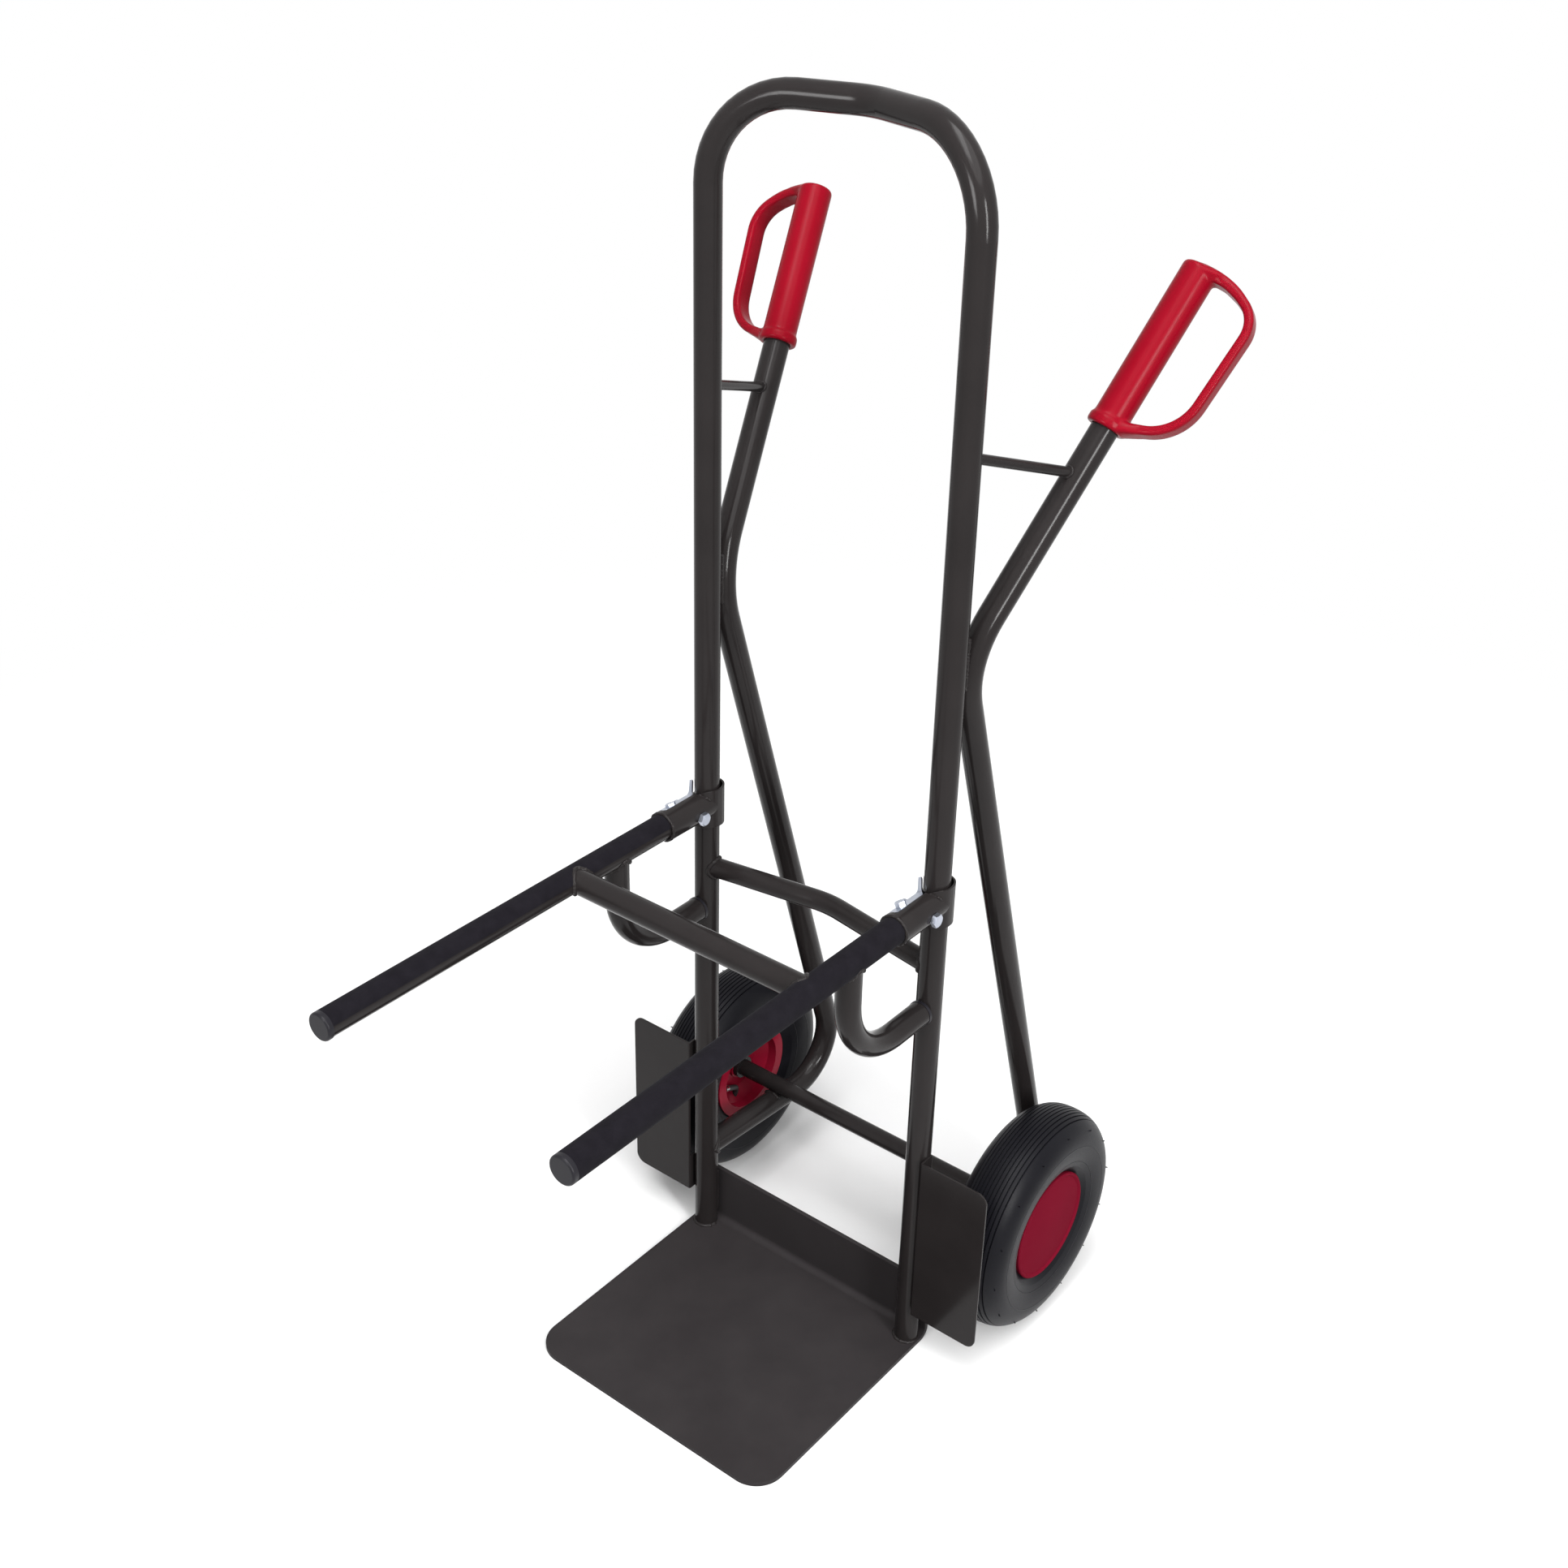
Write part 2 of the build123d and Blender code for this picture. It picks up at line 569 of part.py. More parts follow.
bracket -= extrude(collar_foot * collar_hole, amount=collar_h)
bracket -= bar_x(UPRIGHT_X - ARM_OD, UPRIGHT_X + ARM_OD, BOLT_Y, BOLT_Z, BOLT_OD + 2 * BOLT_FIT)

# Spring strips with their screws, in a frame turned about the arm: local Z leaves the arm's surface
strip_normal = (cos(radians(STRIP_ANGLE)), 0, sin(radians(STRIP_ANGLE)))
strip_across = (sin(radians(STRIP_ANGLE)), 0, -cos(radians(STRIP_ANGLE)))
strip_frame = Plane(origin=(UPRIGHT_X, 0, ARM_Z), x_dir=strip_across, z_dir=strip_normal)
knee_point = (STRIP_KNEE_Y, ARM_R)
tip_point = (STRIP_KNEE_Y + STRIP_RISE / tan(radians(STRIP_BEND)), ARM_R + STRIP_RISE)
strip_profile = sheet_profile([(STRIP_FRONT_Y, ARM_R), knee_point, tip_point], STRIP_T)
lower_knee = strip_profile.vertices().sort_by_distance((*knee_point, 0))[0]
strip_profile = fillet(lower_knee, STRIP_BEND_R)
upper_knee = strip_profile.vertices().sort_by_distance((STRIP_KNEE_Y, ARM_R + STRIP_T, 0))[0]
strip_profile = fillet(upper_knee, STRIP_BEND_R - STRIP_T)
strip = extrude(Plane.YZ * strip_profile, amount=STRIP_W / 2, both=True)
tip_far = STRIP_TIP_INSET - STRIP_W / 2
tip_near = tip_far + STRIP_TIP_W
strip_outline = make_face(
    Polyline(
        (-STRIP_W / 2, STRIP_FRONT_Y),
        (STRIP_W / 2, STRIP_FRONT_Y),
        (STRIP_W / 2, STRIP_TAPER_Y),
        (tip_near, STRIP_KNEE_Y),
        (tip_near, tip_point[0]),
        (tip_far, tip_point[0]),
        (-STRIP_W / 2, STRIP_TAPER_Y),
        close=True,
    )
)
strip_outline = fillet(strip_outline.vertices(), STRIP_CORNER_R)
strip &= extrude(strip_outline, amount=2 * (ARM_R + STRIP_RISE))
slot_floor = ARM_R - STRIP_PLAY / 4
slot_l = STRIP_SLOT_REAR_Y - STRIP_SLOT_FRONT_Y
slot_w = STRIP_W / 2 + STRIP_PLAY + 2 * COLLAR_R
strip_slot = Pos(STRIP_W / 2 + STRIP_PLAY - slot_w / 2, STRIP_SLOT_FRONT_Y + slot_l / 2, slot_floor) * Box(
    slot_w, slot_l, 2 * COLLAR_R, align=on_base
)
slant_l = COLLAR_SLANT_Y - STRIP_SLOT_REAR_Y
slant_box = Box(3 * COLLAR_R, slant_l, 2 * COLLAR_R, align=on_base)
slant = Pos(0, STRIP_SLOT_REAR_Y + slant_l / 2, slot_floor) * slant_box
bracket -= strip_frame * (strip_slot + slant)
shank_l = STRIP_T - BOLT_PLAY
shank = Pos(0, STRIP_SCREW_Y, ARM_R + BOLT_PLAY) * Cylinder(STRIP_SCREW_OD / 2, shank_l, align=on_base)
twin("bracket", bracket)
twin("spring_strip", strip_frame * (strip - shank))
head_plane = Plane(origin=(0, STRIP_SCREW_Y, ARM_R + STRIP_T))
head_outline = RegularPolygon(STRIP_SCREW_AF / 2, 6, major_radius=False)
for side, head_h in STRIP_SCREW_HEADS.items():
    screw = strip_frame * (shank + extrude(head_plane * head_outline, amount=head_h))
    parts[side + "_strip_screw"] = screw if side == "right" else to_left * screw

# Pivot bolts in front of the uprights, heads on the right
cheek_x = COLLAR_R + BOLT_PLAY
head_x = UPRIGHT_X + cheek_x
nut_x = UPRIGHT_X - cheek_x
bolt_shank = bar_x(nut_x - NUT_H - BOLT_STUB, head_x, BOLT_Y, BOLT_Z, BOLT_OD)
twin("pivot_bolt", bolt_shank + hex_x(head_x, head_x + BOLT_HEAD_H, BOLT_Y, BOLT_Z, BOLT_AF))
twin("pivot_nut", hex_x(nut_x - NUT_H, nut_x, BOLT_Y, BOLT_Z, BOLT_AF) - bolt_shank)

os.makedirs("parts", exist_ok=True)
for name, shape in parts.items():
    export_step(shape, "parts/" + name + ".step")
    print(name, len(shape.solids()), "solid", round(shape.volume), "mm3")
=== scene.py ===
# %% [markdown]
# # A chair dolly, dressed for its picture
#
# The dolly is a welded tube frame on two air-tyred wheels, with a fork that slides on its uprights. The
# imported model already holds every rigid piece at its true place, so this lesson adds what a drawing
# office leaves out: paint, rubber and zinc, weld beads, bolt threads, mould marks and the light of a
# studio. All lengths are metres. +X is the dolly's right side, +Y its rear and +Z is up.

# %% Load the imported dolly
import json
import math

import bmesh
import bpy
from mathutils import Matrix, Quaternion, Vector


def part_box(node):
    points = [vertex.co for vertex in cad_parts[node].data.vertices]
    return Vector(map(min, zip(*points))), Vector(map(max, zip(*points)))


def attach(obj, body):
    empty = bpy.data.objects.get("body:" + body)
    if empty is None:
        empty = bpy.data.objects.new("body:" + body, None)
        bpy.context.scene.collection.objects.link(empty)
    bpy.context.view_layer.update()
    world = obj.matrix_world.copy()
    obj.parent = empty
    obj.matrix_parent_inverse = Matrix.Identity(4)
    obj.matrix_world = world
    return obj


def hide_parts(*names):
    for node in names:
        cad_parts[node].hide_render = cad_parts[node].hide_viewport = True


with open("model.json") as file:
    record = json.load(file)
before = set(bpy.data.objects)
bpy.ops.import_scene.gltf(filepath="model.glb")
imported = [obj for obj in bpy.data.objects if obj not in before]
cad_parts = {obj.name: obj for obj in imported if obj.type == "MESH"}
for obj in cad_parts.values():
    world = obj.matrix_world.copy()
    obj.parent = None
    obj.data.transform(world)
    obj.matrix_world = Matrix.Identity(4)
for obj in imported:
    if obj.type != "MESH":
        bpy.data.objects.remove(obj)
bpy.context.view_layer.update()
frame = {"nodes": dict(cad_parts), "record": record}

nodes = frame["nodes"]

# %% [markdown]
# ## The camera
#
# The photograph was taken from the front right, a little higher than the top of the frame, with the
# camera slightly rolled. Lines on the dolly that are parallel in space meet at vanishing points in the
# picture, and these give the lens and the three angles. The wheel's size then gives the distance.

# %% Camera
PHOTO_SIDE = 1932
FOCAL_PIXELS = 2439.0
SENSOR_MM = 36.0
CAMERA_PLACE = Vector((1.0351, -1.3829, 1.6407))
CAMERA_TURN = math.radians(-37.99)
CAMERA_DIP = math.radians(29.56)
CAMERA_ROLL = math.radians(1.344)
CAMERA_REACH = 100.0


def add_object(name, data):
    """A new object in the scene, at the origin."""
    thing = bpy.data.objects.new(name, data)
    bpy.context.scene.collection.objects.link(thing)
    return thing


def make_camera():
    """The camera of the photograph, turned by its three angles."""
    forward = Vector((
        math.sin(CAMERA_TURN) * math.cos(CAMERA_DIP),
        math.cos(CAMERA_TURN) * math.cos(CAMERA_DIP),
        -math.sin(CAMERA_DIP),
    ))
    level = Vector((math.cos(CAMERA_TURN), -math.sin(CAMERA_TURN), 0))
    upward = level.cross(forward)
    right = level * math.cos(CAMERA_ROLL) + upward * math.sin(CAMERA_ROLL)
    top = upward * math.cos(CAMERA_ROLL) - level * math.sin(CAMERA_ROLL)
    lens = bpy.data.cameras.new("camera")
    lens.sensor_width = SENSOR_MM
    lens.lens = FOCAL_PIXELS / PHOTO_SIDE * SENSOR_MM
    lens.clip_end = CAMERA_REACH
    camera = add_object("camera", lens)
    turn = Matrix((right, top, -forward)).transposed().to_4x4()
    camera.matrix_world = Matrix.Translation(CAMERA_PLACE) @ turn
    bpy.context.scene.camera = camera
    return camera


camera = make_camera()
print("lens:", round(camera.data.lens, 2), "mm")

# %% [markdown]
# ## Small helpers for node trees
#
# Every material and every Geometry Nodes tree below is built from the same two moves: open a group with
# named sockets, and add a node with some settings. Writing these moves once keeps the later cells short.
# Some nodes hold several sockets of one name, one for each kind of data, and those are picked by number.

# %% Node helpers
FLOAT = "NodeSocketFloat"
COLOR = "NodeSocketColor"
GEOMETRY = "NodeSocketGeometry"
MATERIAL = "NodeSocketMaterial"
MIX_SHARE = 0
MIX_FIRST_COLOR = 6
MIX_SECOND_COLOR = 7
MIX_COLOR = 2
RANDOM_LEAST = 2
RANDOM_MOST = 3
RANDOM_NUMBER = 1


def add_node(tree, kind, inputs=None, **settings):
    """A new node, with settings as properties and inputs by socket name or number."""
    node = tree.nodes.new(kind)
    for name, value in settings.items():
        setattr(node, name, value)
    for key, value in (inputs or {}).items():
        node.inputs[key].default_value = value
    return node


def new_group(name, kind, inputs, outputs):
    """An empty node group with named sockets, and its two end nodes."""
    group = bpy.data.node_groups.new(name, kind)
    for socket_name, socket_kind, value in inputs:
        socket = group.interface.new_socket(socket_name, in_out="INPUT", socket_type=socket_kind)
        if value is not None:
            socket.default_value = value
    for socket_name, socket_kind in outputs:
        group.interface.new_socket(socket_name, in_out="OUTPUT", socket_type=socket_kind)
    return group, group.nodes.new("NodeGroupInput"), group.nodes.new("NodeGroupOutput")


# %% [markdown]
# ## Studio and floor
#
# The picture is a studio shot on white. A tall soft box stands on the right and draws the long highlights
# on the tubes, a weak one stands in front and one hangs above. A broad, soft sun lights the floor evenly
# far away, so the background stays pale without much more light on the dolly.
#
# Close to the dolly the floor is white paint and keeps its shadow. Further out it turns into flat white
# for the rays that show it: from the camera, off a shiny face or through glass. The air above is treated
# the same way. For light that goes from one matt surface to the next, floor and air are darker, as the
# undersides of the tubes are dark in the photograph.

# %% Floor
FLOOR_SIDE = 80.0
FLOOR_COLOR = (0.92, 0.92, 0.92, 1)
BOUNCE_COLOR = (0.4, 0.4, 0.4, 1)
SHADOW_ZONE = (0.7, 2.2)
WHITE = (1, 1, 1, 1)


def seen_rays(tree):
    """One for the rays that show a backdrop: from the camera, off a mirror or through glass."""
    rays = add_node(tree, "ShaderNodeLightPath")
    mirrored = add_node(tree, "ShaderNodeMath", operation="MAXIMUM")
    seen = add_node(tree, "ShaderNodeMath", operation="MAXIMUM")
    tree.links.new(rays.outputs["Is Camera Ray"], mirrored.inputs[0])
    tree.links.new(rays.outputs["Is Glossy Ray"], mirrored.inputs[1])
    tree.links.new(mirrored.outputs[0], seen.inputs[0])
    tree.links.new(rays.outputs["Is Transmission Ray"], seen.inputs[1])
    return seen.outputs[0]


def make_floor_material():
    """White paint that turns into flat white away from the dolly, and grey for bounced light."""
    material = bpy.data.materials.new("studio_floor")
    material.use_nodes = True
    tree = material.node_tree
    tree.nodes.clear()
    place = add_node(tree, "ShaderNodeTexCoord")
    distance = add_node(tree, "ShaderNodeVectorMath", operation="LENGTH")
    far = add_node(tree, "ShaderNodeMapRange", interpolation_type="SMOOTHSTEP")
    far.inputs["From Min"].default_value = SHADOW_ZONE[0]
    far.inputs["From Max"].default_value = SHADOW_ZONE[1]
    rays = add_node(tree, "ShaderNodeLightPath")
    share = add_node(tree, "ShaderNodeMath", operation="MULTIPLY")
    tones = {MIX_FIRST_COLOR: FLOOR_COLOR, MIX_SECOND_COLOR: BOUNCE_COLOR}
    tone = add_node(tree, "ShaderNodeMix", tones, data_type="RGBA")
    paint = add_node(tree, "ShaderNodeBsdfDiffuse")
    white = add_node(tree, "ShaderNodeEmission", {"Color": WHITE, "Strength": 1.0})
    mix = add_node(tree, "ShaderNodeMixShader")
    output = add_node(tree, "ShaderNodeOutputMaterial")
    join = tree.links.new
    join(place.outputs["Object"], distance.inputs[0])
    join(distance.outputs["Value"], far.inputs["Value"])
    join(seen_rays(tree), share.inputs[0])
    join(far.outputs["Result"], share.inputs[1])
    join(share.outputs[0], mix.inputs[0])
    join(rays.outputs["Is Diffuse Ray"], tone.inputs[MIX_SHARE])
    join(tone.outputs[MIX_COLOR], paint.inputs["Color"])
    join(paint.outputs[0], mix.inputs[1])
    join(white.outputs[0], mix.inputs[2])
    join(mix.outputs[0], output.inputs["Surface"])
    return material


def make_floor():
    """One large square under the wheels."""
    half = FLOOR_SIDE / 2
    mesh = bpy.data.meshes.new("studio_floor")
    corners = [(-half, -half, 0), (half, -half, 0), (half, half, 0), (-half, half, 0)]
    mesh.from_pydata(corners, [], [(0, 1, 2, 3)])
    mesh.materials.append(make_floor_material())
    floor = add_object("studio_floor", mesh)


make_floor()
print("floor:", FLOOR_SIDE, "m square, shadow zone", SHADOW_ZONE)

# %% Lights
WORLD_STRENGTH = 0.2
SUN_STRENGTH = 2.5
SUN_SPREAD = math.radians(60)
SUN_WAY = Vector((-0.35, 0.3, -1))


def make_soft_box(name, place, aim, width, height, power, spread=180):
    """A lit rectangle that looks at its aim; the spread is in degrees."""
    lamp = bpy.data.lights.new(name, "AREA")
    lamp.shape = "RECTANGLE"
    lamp.size = width
    lamp.size_y = height
    lamp.energy = power
    lamp.spread = math.radians(spread)
    holder = add_object(name, lamp)
    holder.location = place
    holder.rotation_euler = (Vector(aim) - Vector(place)).to_track_quat("-Z", "Y").to_euler()


def make_sun():
    """A sun as wide as a clouded patch of sky."""
    lamp = bpy.data.lights.new("broad_sun", "SUN")
    lamp.energy = SUN_STRENGTH
    lamp.angle = SUN_SPREAD
    holder = add_object("broad_sun", lamp)
    holder.rotation_euler = SUN_WAY.to_track_quat("-Z", "Y").to_euler()


def make_world():
    """Weak light from all around, and full white where it is seen."""
    world = bpy.data.worlds.new("studio_air")
    world.use_nodes = True
    tree = world.node_tree
    background = tree.nodes["Background"]
    background.inputs["Color"].default_value = WHITE
    strength = add_node(tree, "ShaderNodeMapRange", {"To Min": WORLD_STRENGTH, "To Max": 1.0})
    tree.links.new(seen_rays(tree), strength.inputs["Value"])
    tree.links.new(strength.outputs["Result"], background.inputs["Strength"])
    bpy.context.scene.world = world


make_world()
make_sun()
make_soft_box("right_soft_box", place=(3.0, -1.1, 1.7), aim=(0, 0, 0.9), width=0.5, height=1.6, power=85)
make_soft_box(
    "front_soft_box", place=(-0.3, -3.4, 1.95), aim=(0, 0, 1.3), width=1.2, height=1.3, power=7, spread=50,
)
make_soft_box("top_soft_box", place=(0.3, -0.6, 3.6), aim=(0, 0, 0.6), width=0.8, height=2.0, power=40)
bpy.context.scene.view_settings.view_transform = "Standard"
print("lights:", [lamp.name for lamp in bpy.data.lights])

# %% [markdown]
# ## Effects that several finishes share
#
# Powder coat, rubber, zinc and moulded plastic all carry a fine grain and slow clouds of tone. One shader
# group makes both from noise on Object coordinates, so a pattern stays fixed to its piece. A second group
# lays a trace of dust on faces that look up. A third marks thin rings at chosen distances from the axle,
# for the lines that a tyre mould leaves. Groups only hand out values and colours; the shader itself stays
# in each material.


# %% Shared shader groups
def make_grain_group():
    """Fine grain and slow clouds, both from 0 to 1."""
    inputs = [("Grain Scale", FLOAT, 900.0), ("Cloud Scale", FLOAT, 12.0)]
    outputs = [("Grain", FLOAT), ("Clouds", FLOAT)]
    group, start, end = new_group("fine_grain", "ShaderNodeTree", inputs, outputs)
    place = add_node(group, "ShaderNodeTexCoord")
    grain = add_node(group, "ShaderNodeTexNoise", {"Detail": 2.0, "Roughness": 0.6})
    clouds = add_node(group, "ShaderNodeTexNoise", {"Detail": 4.0, "Roughness": 0.55})
    join = group.links.new
    join(place.outputs["Object"], grain.inputs["Vector"])
    join(place.outputs["Object"], clouds.inputs["Vector"])
    join(start.outputs["Grain Scale"], grain.inputs["Scale"])
    join(start.outputs["Cloud Scale"], clouds.inputs["Scale"])
    join(grain.outputs[0], end.inputs["Grain"])
    join(clouds.outputs[0], end.inputs["Clouds"])
    return group


def make_dust_group():
    """A colour with patches of dust where the face looks up."""
    inputs = [
        ("Color", COLOR, (0.5, 0.5, 0.5, 1)),
        ("Dust Color", COLOR, (0.35, 0.34, 0.32, 1)),
        ("Amount", FLOAT, 0.1),
        ("Clouds", FLOAT, 0.5),
    ]
    group, start, end = new_group("settled_dust", "ShaderNodeTree", inputs, [("Color", COLOR)])
    shape = add_node(group, "ShaderNodeNewGeometry")
    parts = add_node(group, "ShaderNodeSeparateXYZ")
    facing_up = add_node(group, "ShaderNodeMapRange", {"From Min": 0.2, "From Max": 1.0})
    patchy = add_node(group, "ShaderNodeMapRange", {"From Min": 0.35, "From Max": 0.75})
    both = add_node(group, "ShaderNodeMath", operation="MULTIPLY")
    share = add_node(group, "ShaderNodeMath", operation="MULTIPLY")
    mix = add_node(group, "ShaderNodeMix", data_type="RGBA")
    join = group.links.new
    join(shape.outputs["Normal"], parts.inputs[0])
    join(parts.outputs["Z"], facing_up.inputs["Value"])
    join(start.outputs["Clouds"], patchy.inputs["Value"])
    join(facing_up.outputs["Result"], both.inputs[0])
    join(patchy.outputs["Result"], both.inputs[1])
    join(both.outputs[0], share.inputs[0])
    join(start.outputs["Amount"], share.inputs[1])
    join(share.outputs[0], mix.inputs[MIX_SHARE])
    join(start.outputs["Color"], mix.inputs[MIX_FIRST_COLOR])
    join(start.outputs["Dust Color"], mix.inputs[MIX_SECOND_COLOR])
    join(mix.outputs[MIX_COLOR], end.inputs["Color"])
    return group


def make_ring_group():
    """One on two thin circles round the axle, and nought elsewhere."""
    inputs = [
        ("Axle Y", FLOAT, 0.0),
        ("Axle Z", FLOAT, 0.0),
        ("First Radius", FLOAT, 0.1),
        ("Second Radius", FLOAT, 0.08),
        ("Half Width", FLOAT, 0.0006),
    ]
    group, start, end = new_group("mould_rings", "ShaderNodeTree", inputs, [("Rings", FLOAT)])
    join = group.links.new
    place = add_node(group, "ShaderNodeTexCoord")
    parts = add_node(group, "ShaderNodeSeparateXYZ")
    flat = add_node(group, "ShaderNodeCombineXYZ")
    radius = add_node(group, "ShaderNodeVectorMath", operation="LENGTH")
    join(place.outputs["Object"], parts.inputs[0])
    for axis in ("Y", "Z"):
        shifted = add_node(group, "ShaderNodeMath", operation="SUBTRACT")
        join(parts.outputs[axis], shifted.inputs[0])
        join(start.outputs["Axle " + axis], shifted.inputs[1])
        join(shifted.outputs[0], flat.inputs[axis])
    join(flat.outputs[0], radius.inputs[0])
    highest = add_node(group, "ShaderNodeMath", operation="MAXIMUM")
    for number, ring in enumerate(("First Radius", "Second Radius")):
        gap = add_node(group, "ShaderNodeMath", operation="SUBTRACT")
        away = add_node(group, "ShaderNodeMath", operation="ABSOLUTE")
        falling = {"To Min": 1.0, "To Max": 0.0}
        band = add_node(group, "ShaderNodeMapRange", falling, interpolation_type="SMOOTHSTEP")
        join(radius.outputs["Value"], gap.inputs[0])
        join(start.outputs[ring], gap.inputs[1])
        join(gap.outputs[0], away.inputs[0])
        join(away.outputs[0], band.inputs["Value"])
        join(start.outputs["Half Width"], band.inputs["From Max"])
        join(band.outputs["Result"], highest.inputs[number])
    join(highest.outputs[0], end.inputs["Rings"])
    return group


grain_group = make_grain_group()
dust_group = make_dust_group()
ring_group = make_ring_group()
print("shader groups:", grain_group.name, dust_group.name, ring_group.name)

# %% [markdown]
# ## One recipe for the finishes
#
# Each finish differs in a handful of numbers: two tones that the clouds blend, a span of roughness that
# the grain moves through, the depth of the grain as a bump, and how much dust it holds. Writing the
# recipe once and listing those numbers for each finish makes the finishes easy to compare and to correct
# against the photograph.


# %% Finish recipe
def make_finish(name, dark, light, rough, grain_scale, bump, cloud_scale=14.0, dust=0.0, **sockets):
    """A material whose tone, roughness and relief vary over its surface; sockets are the shader's own."""
    material = bpy.data.materials.new(name)
    material.use_nodes = True
    tree = material.node_tree
    join = tree.links.new
    shader = tree.nodes["Principled BSDF"]
    for socket_name, value in sockets.items():
        shader.inputs[socket_name.replace("_", " ")].default_value = value
    grain = add_node(tree, "ShaderNodeGroup", node_tree=grain_group)
    grain.inputs["Grain Scale"].default_value = grain_scale
    grain.inputs["Cloud Scale"].default_value = cloud_scale
    tone_share = add_node(tree, "ShaderNodeMapRange", {"From Min": 0.3, "From Max": 0.7})
    tones = {MIX_FIRST_COLOR: (*dark, 1), MIX_SECOND_COLOR: (*light, 1)}
    tone = add_node(tree, "ShaderNodeMix", tones, data_type="RGBA")
    settled = add_node(tree, "ShaderNodeGroup", node_tree=dust_group)
    settled.inputs["Amount"].default_value = dust
    roughness = add_node(tree, "ShaderNodeMapRange", {"From Min": 0.25, "From Max": 0.75})
    roughness.inputs["To Min"].default_value = rough[0]
    roughness.inputs["To Max"].default_value = rough[1]
    relief = add_node(tree, "ShaderNodeBump", {"Strength": 1.0, "Distance": bump}, name="relief")
    join(grain.outputs["Clouds"], tone_share.inputs["Value"])
    join(tone_share.outputs["Result"], tone.inputs[MIX_SHARE])
    join(tone.outputs[MIX_COLOR], settled.inputs["Color"])
    join(grain.outputs["Clouds"], settled.inputs["Clouds"])
    join(settled.outputs["Color"], shader.inputs["Base Color"])
    join(grain.outputs["Grain"], roughness.inputs["Value"])
    join(roughness.outputs["Result"], shader.inputs["Roughness"])
    join(grain.outputs["Grain"], relief.inputs["Height"])
    join(relief.outputs["Normal"], shader.inputs["Normal"])
    return material


# %% [markdown]
# ## The finishes
#
# The frame is powder coated in a warm anthracite with a soft gloss. The plates carry the same anthracite,
# matter, and painted lighter to stand in for the top light that falls on them. The sleeves on the fork arms
# are matt black with a felt-like surface and a trace of violet. The grips and hub caps are red mouldings,
# the caps a little darker and duller, and the rims are glossy red enamel. Small hardware is bright zinc.

# %% Finishes
finishes = {
    "frame_paint": make_finish(
        "anthracite_powder_coat",
        dark=(0.0165, 0.0142, 0.0142),
        light=(0.02, 0.0172, 0.0172),
        rough=(0.12, 0.18),
        grain_scale=700.0,
        bump=0.000006,
        dust=0.005,
        Specular_IOR_Level=0.12,
    ),
    # The plates' tones are the frame's anthracite made lighter: painted light for the strong top light on
    # the flat sheets.
    "plate_paint": make_finish(
        "plate_coat_with_painted_light",
        dark=(0.0275, 0.0243, 0.0254),
        light=(0.0312, 0.0276, 0.0288),
        rough=(0.36, 0.44),
        grain_scale=600.0,
        bump=0.00002,
        dust=0.01,
        Specular_IOR_Level=0.07,
    ),
    "zinc": make_finish(
        "bright_zinc",
        dark=(0.36, 0.39, 0.46),
        light=(0.5, 0.53, 0.6),
        rough=(0.28, 0.42),
        grain_scale=500.0,
        bump=0.00003,
        cloud_scale=60.0,
        Metallic=1.0,
    ),
    "grip_red": make_finish(
        "red_grip_moulding",
        dark=(0.205, 0.002, 0.009),
        light=(0.23, 0.0026, 0.0115),
        rough=(0.24, 0.28),
        grain_scale=500.0,
        bump=0.000002,
        Specular_IOR_Level=0.06,
    ),
    "cap_red": make_finish(
        "red_cap_moulding",
        dark=(0.15, 0.0055, 0.0175),
        light=(0.17, 0.0065, 0.02),
        rough=(0.42, 0.54),
        grain_scale=800.0,
        bump=0.00003,
        Specular_IOR_Level=0.003,
    ),
    "rim_red": make_finish(
        "red_rim_enamel",
        dark=(0.22, 0.006, 0.021),
        light=(0.28, 0.008, 0.027),
        rough=(0.16, 0.24),
        grain_scale=300.0,
        bump=0.00001,
        Specular_IOR_Level=0.06,
    ),
    "tyre_black": make_finish(
        "tyre_rubber",
        dark=(0.0045, 0.0044, 0.0062),
        light=(0.0065, 0.0064, 0.0086),
        rough=(0.34, 0.46),
        grain_scale=900.0,
        bump=0.00003,
        dust=0.005,
        Specular_IOR_Level=0.09,
    ),
    "tube_rubber": make_finish(
        "inner_tube_rubber",
        dark=(0.01, 0.01, 0.011),
        light=(0.016, 0.016, 0.017),
        rough=(0.5, 0.62),
        grain_scale=800.0,
        bump=0.00005,
    ),
    "cover_black": make_finish(
        "felted_sleeve",
        dark=(0.0072, 0.0064, 0.0088),
        light=(0.0106, 0.0095, 0.0128),
        rough=(0.8, 0.95),
        grain_scale=1400.0,
        bump=0.0002,
        cloud_scale=60.0,
        Specular_IOR_Level=0.06,
        Sheen_Weight=0.015,
        Sheen_Roughness=0.5,
    ),
    "plug_black": make_finish(
        "black_plug_moulding",
        dark=(0.0105, 0.0098, 0.0128),
        light=(0.0145, 0.0136, 0.0175),
        rough=(0.32, 0.42),
        grain_scale=900.0,
        bump=0.00002,
        Specular_IOR_Level=0.18,
    ),
    "valve_nickel": make_finish(
        "bright_nickel",
        dark=(0.7, 0.7, 0.7),
        light=(0.82, 0.82, 0.82),
        rough=(0.12, 0.22),
        grain_scale=400.0,
        bump=0.00002,
        Metallic=1.0,
    ),
}
print("finishes:", len(finishes))

# %% Coat the CAD pieces
for entry in frame["record"]["subparts"]:
    piece = nodes[entry["node"]]
    piece.data.materials.clear()
    piece.data.materials.append(finishes[entry["material_slot"]])

# %% [markdown]
# ## Soft paint edges and mould lines
#
# Powder flows a little as it is baked, so a sheet's cut edge comes out rounded and catches a thin line of
# light. A bevel in the shading normal gives that line without any new geometry. On the tyre, the two
# halves of the mould and the ring around the valve side leave fine raised circles on the sidewall; these
# are a second, deeper bump.

